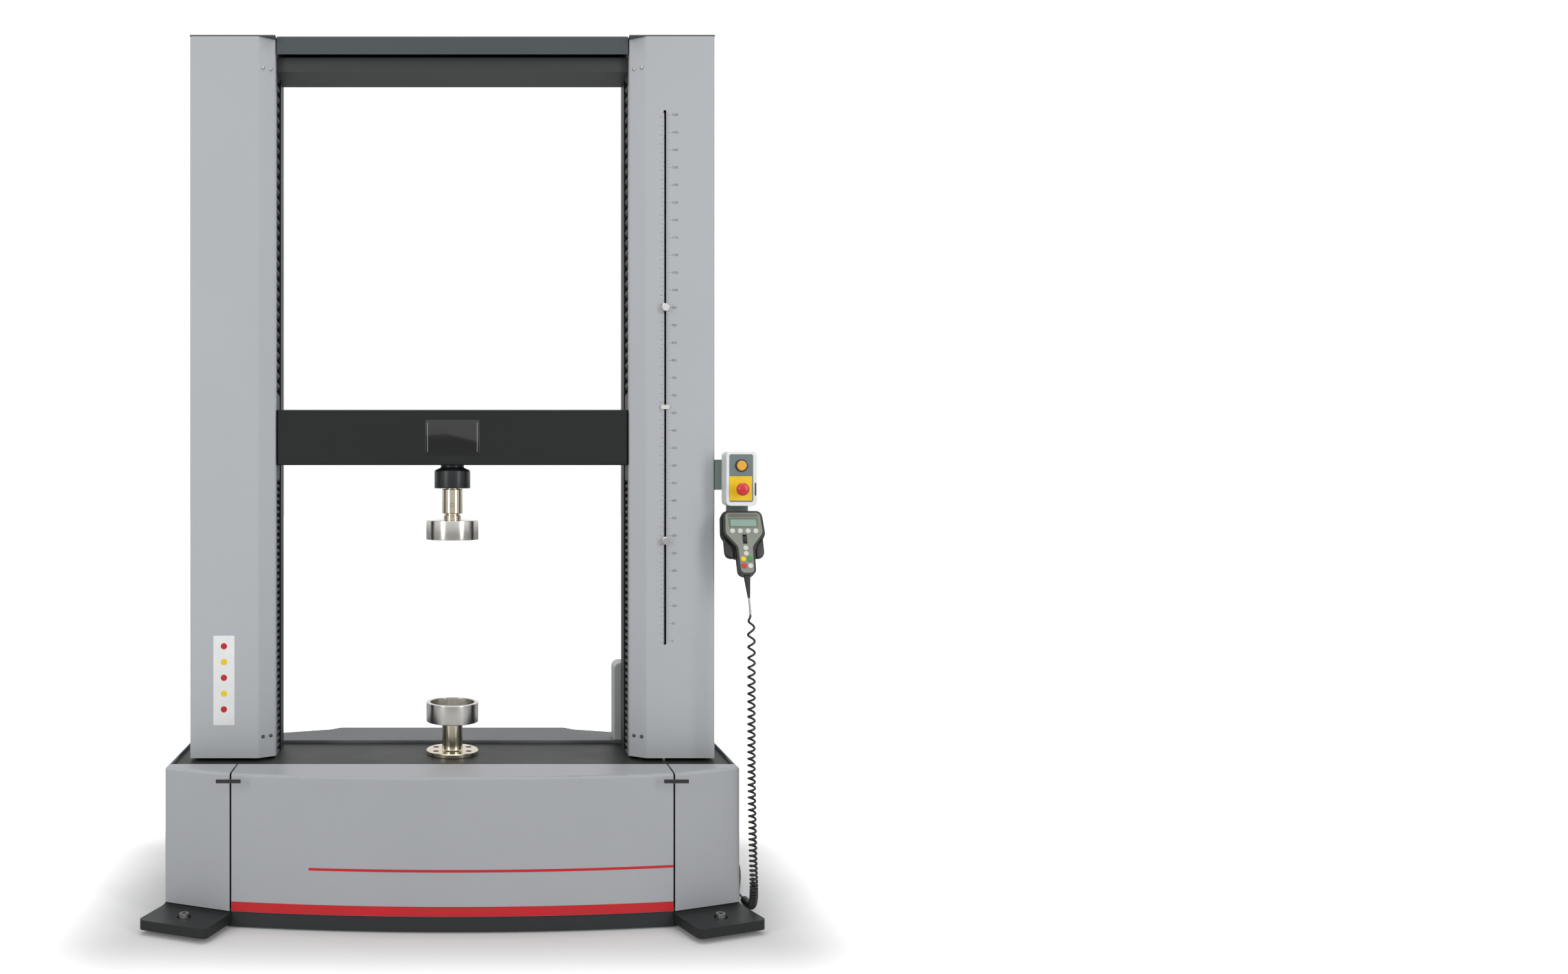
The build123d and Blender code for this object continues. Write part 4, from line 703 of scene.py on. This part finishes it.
def label_strip():
    """Plain strip low on the left column, with five coloured dots."""
    strip = rectangle((-681, -621), (510, 765), 3)
    make("label_strip", "rim", "frame", raised(strip, softened(0.5, 0.2), (0, COLUMN_FRONT_Y, 0)))
    dot = rounded([(0, 0), (9, 0), (9, 0.3), (0, 0.3)], [0, 0, 0.1, 0], closed=False)
    dots = [turned(dot, (-651, COLUMN_FRONT_Y - 0.5, z), RIGHT, UP, 32) for z in (735, 690, 645, 600, 555)]
    make("label_dots_red", "band", "frame", *dots[::2])
    make("label_dots_yellow", "yellow", "frame", *dots[1::2])


def column_screws():
    """Two screws at the top and two at the foot of each column's chamfer, square to it."""
    head = rounded([(0, 0), (5.2, 0), (5.2, 1.6), (2.8, 3.4), (0, 3.4)], [0, 0, 1, 1, 0], closed=False)
    run = np.array(CHAMFER_RUN) / math.hypot(*CHAMFER_RUN)
    for finish, z in (("zinc", 2387), ("ink", 476)):
        screws = []
        for hand in (1, -1):
            lean = np.array((run[1] * hand, -run[0], 0))
            across = np.cross(np.array(UP), lean)
            for x in (521, 541):
                y = CHAMFER_START[1] + (x - CHAMFER_START[0]) * CHAMFER_RUN[1] / CHAMFER_RUN[0]
                screws.append(turned(head, (hand * x, y, z), across, np.cross(lean, across), 32))
        make(f"column_screws_{finish}", finish, "frame", *screws)


def table_clips():
    """Black clip over the table's front edge, left and right."""
    wide, low_z, high_z = 66, 400, 409.5
    lows = [(x, TABLE_EDGE_Y - 4, low_z) for x in (-632, 566)]
    highs = [(x + wide, TABLE_EDGE_Y, high_z) for x in (-632, 566)]
    make("table_clips", "black_plastic", "frame", bars(lows, highs))


def adapter_pin():
    """Cross pin through the upper adapter."""
    pin = rounded([(0, -26), (5, -26), (5, 26), (0, 26)], [0, 0.8, 0.8, 0], closed=False)
    make("adapter_pin", "zinc", "crosshead", turned(pin, (0, 0, 1128), UP, RIGHT, 32))


def load_train():
    """Load cell and both platens, between the crosshead and the table."""
    cell = rounded([(0, 1184), (52.5, 1184), (52.5, 1236), (34, 1244.5), (34, 1252), (0, 1252)],
                   [0, 2.5, 4, 1, 0, 0], closed=False)
    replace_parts(make("load_cell_body", "cell", "crosshead", turned(cell, segments=128)), "load_cell")
    platen = make("upper_platen_cup", "steel", "crosshead", cup(UPPER_PLATEN_Z, -1))
    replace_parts(platen, "upper_platen")
    platen = make("lower_platen_cup", "steel", "frame", cup(LOWER_PLATEN_Z, 1))
    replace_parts(platen, "lower_platen")


def base_bands():
    """Red band along the front cover's foot and the thin line above it, both on its arc."""
    for name, x, z in (("foot_band", (-596.0, 596.0), (46.8, 73.0)),
                       ("thin_line", (-385.0, 596.0), (164.5, 171.5))):
        across = np.linspace(x[0], x[1], 160)
        ring = np.array([(0.2, z[0]), (0.75, z[0] + 0.3), (0.75, z[1] - 0.3), (0.2, z[1])])
        radius = ARC_RADIUS + ring[:, 0]
        y = ARC_CENTRE_Y - np.sqrt(radius**2 - across[:, None] ** 2)
        x_grid = np.broadcast_to(across[:, None], y.shape)
        z_grid = np.broadcast_to(ring[:, 1], y.shape)
        make(name, "band", "frame", patch(np.stack([x_grid, y, z_grid], axis=-1), lids=True))


def lights():
    """Soft studio light: wide lamps in front and above, aimed at the middle, and a world all round."""
    def lamp(name, place, size, power):
        data = bpy.data.lights.new(name, "AREA")
        data.shape = "RECTANGLE"
        data.size, data.size_y = size
        data.energy = power
        light = bpy.data.objects.new(name, data)
        light.location = place
        way = np.array(place) - (0, 0, 1.2)
        across = math.hypot(way[0], way[1])
        light.rotation_euler = (math.atan2(across, way[2]), 0, math.atan2(way[0], -way[1]))
        bpy.context.scene.collection.objects.link(light)

    lamp("left_strip", (-3.2, -3.6, 2.2), (0.9, 3.4), 64)
    lamp("right_strip", (3.2, -3.6, 2.2), (0.9, 3.4), 64)
    lamp("overhead", (0, 0.2, 5.2), (4.0, 3.0), 100)
    world = bpy.data.worlds.new("studio")
    world.use_nodes = True
    tree = world.node_tree
    ray = tree.nodes.new("ShaderNodeLightPath").outputs
    seen = Amount(tree, ray["Is Camera Ray"]) + Amount(tree, ray["Is Glossy Ray"])
    seen = seen + Amount(tree, ray["Is Transmission Ray"])
    strength = (seen > 0.5) * 0.58 + 0.42
    background = tree.nodes["Background"]
    background.inputs["Color"].default_value = (1, 1, 1, 1)
    tree.links.new(strength.socket, background.inputs["Strength"])
    bpy.context.scene.world = world


def floor():
    """Pale floor that the camera sees as white away from the machine; near it the glow fades, a painted
    shadow added to the machine's real shadow.
    """
    finish = Finish("floor_white", "cover_paint", srgb(225, 225, 225), 0.9, Specular_IOR_Level=0.0)
    ray = finish.node("ShaderNodeLightPath", output="Is Camera Ray")
    glow = finish.shader.inputs
    finish.feed(glow["Emission Color"], (1, 1, 1, 1))
    away = []
    for axis, reach in ((0, 0.82), (1, 0.36)):
        side = finish.node("ShaderNodeMath", {"operation": "ABSOLUTE"}, {0: finish.along(axis)}) - reach
        away.append(finish.node("ShaderNodeMath", {"operation": "MAXIMUM"}, {0: side, 1: 0.0}))
    far = (away[0] * away[0] + away[1] * away[1]) ** 0.5
    # Painted shadow: the glow the camera sees drops to 0.05 beside the machine and reaches full strength
    # 0.55 m out.
    clear = finish.node("ShaderNodeMapRange", {"interpolation_type": "SMOOTHSTEP"},
                        {"Value": far, "From Max": 0.55, "To Min": 0.05, "To Max": 1.0})
    finish.feed(glow["Emission Strength"], ray * clear)
    mesh = bpy.data.meshes.new("floor")
    mesh.from_pydata([(-30, -30, 0), (30, -30, 0), (30, 30, 0), (-30, 30, 0)], [], [(0, 1, 2, 3)])
    mesh.materials.append(finish.material)
    ground = bpy.data.objects.new("floor", mesh)
    bpy.context.scene.collection.objects.link(ground)


bpy.context.scene.view_settings.view_transform = "Standard"
camera()
handset_cord()
pleated_screens()
load_train()
base_bands()
stop_box()
handset()
scale()
badge()
label_strip()
column_screws()
table_clips()
adapter_pin()
lights()
floor()

dress("column", "left_column_cover", "right_column_cover")
dress("cover", "front_cover", "rear_cover", "left_side_cover", "right_side_cover")
dress("panel", "rear_top_panel")
dress("cap", "top_cap")
dress("beam", "top_beam")
dress("table", "table_plate")
dress("head", "crosshead_beam")
dress("black", "floor_feet", "rear_columns", "screw_bearings", "drive_motor", "guide_bushings")
dress("primer", "base_frame")
dress("zinc", "levelling_screws", "ball_nuts")
dress("chrome", "guide_columns", "limit_rod", "upper_stop", "lower_stop")
dress("chrome", "left_ball_screw", "right_ball_screw")
dress("alloy", "motor_pulley")
dress("belt", "drive_belt")
dress("white", "travel_pointer")
dress("warm_steel", "upper_adapter", "base_adapter")
dress("bracket", "estop_bracket")
dress("box", "estop_box")
dress("rim", "estop_face")
dress("yellow", "estop_stem")
dress("amber", "power_button")
dress("black_plastic", "handset_holder", "handset_back_shell", "thumbwheel", "cord_socket", "cord_plug")
dress("face", "handset_front_shell")
dress("boot", "cord_boot")
dress("housing", "controller_housing")
dress("white", "soft_key_1", "soft_key_2", "soft_key_3", "soft_key_4")
dress("white", "jog_up_key", "jog_down_key", "zero_key")
dress("yellow", "return_key")
dress("green", "start_key")
dress("red", "stop_key")
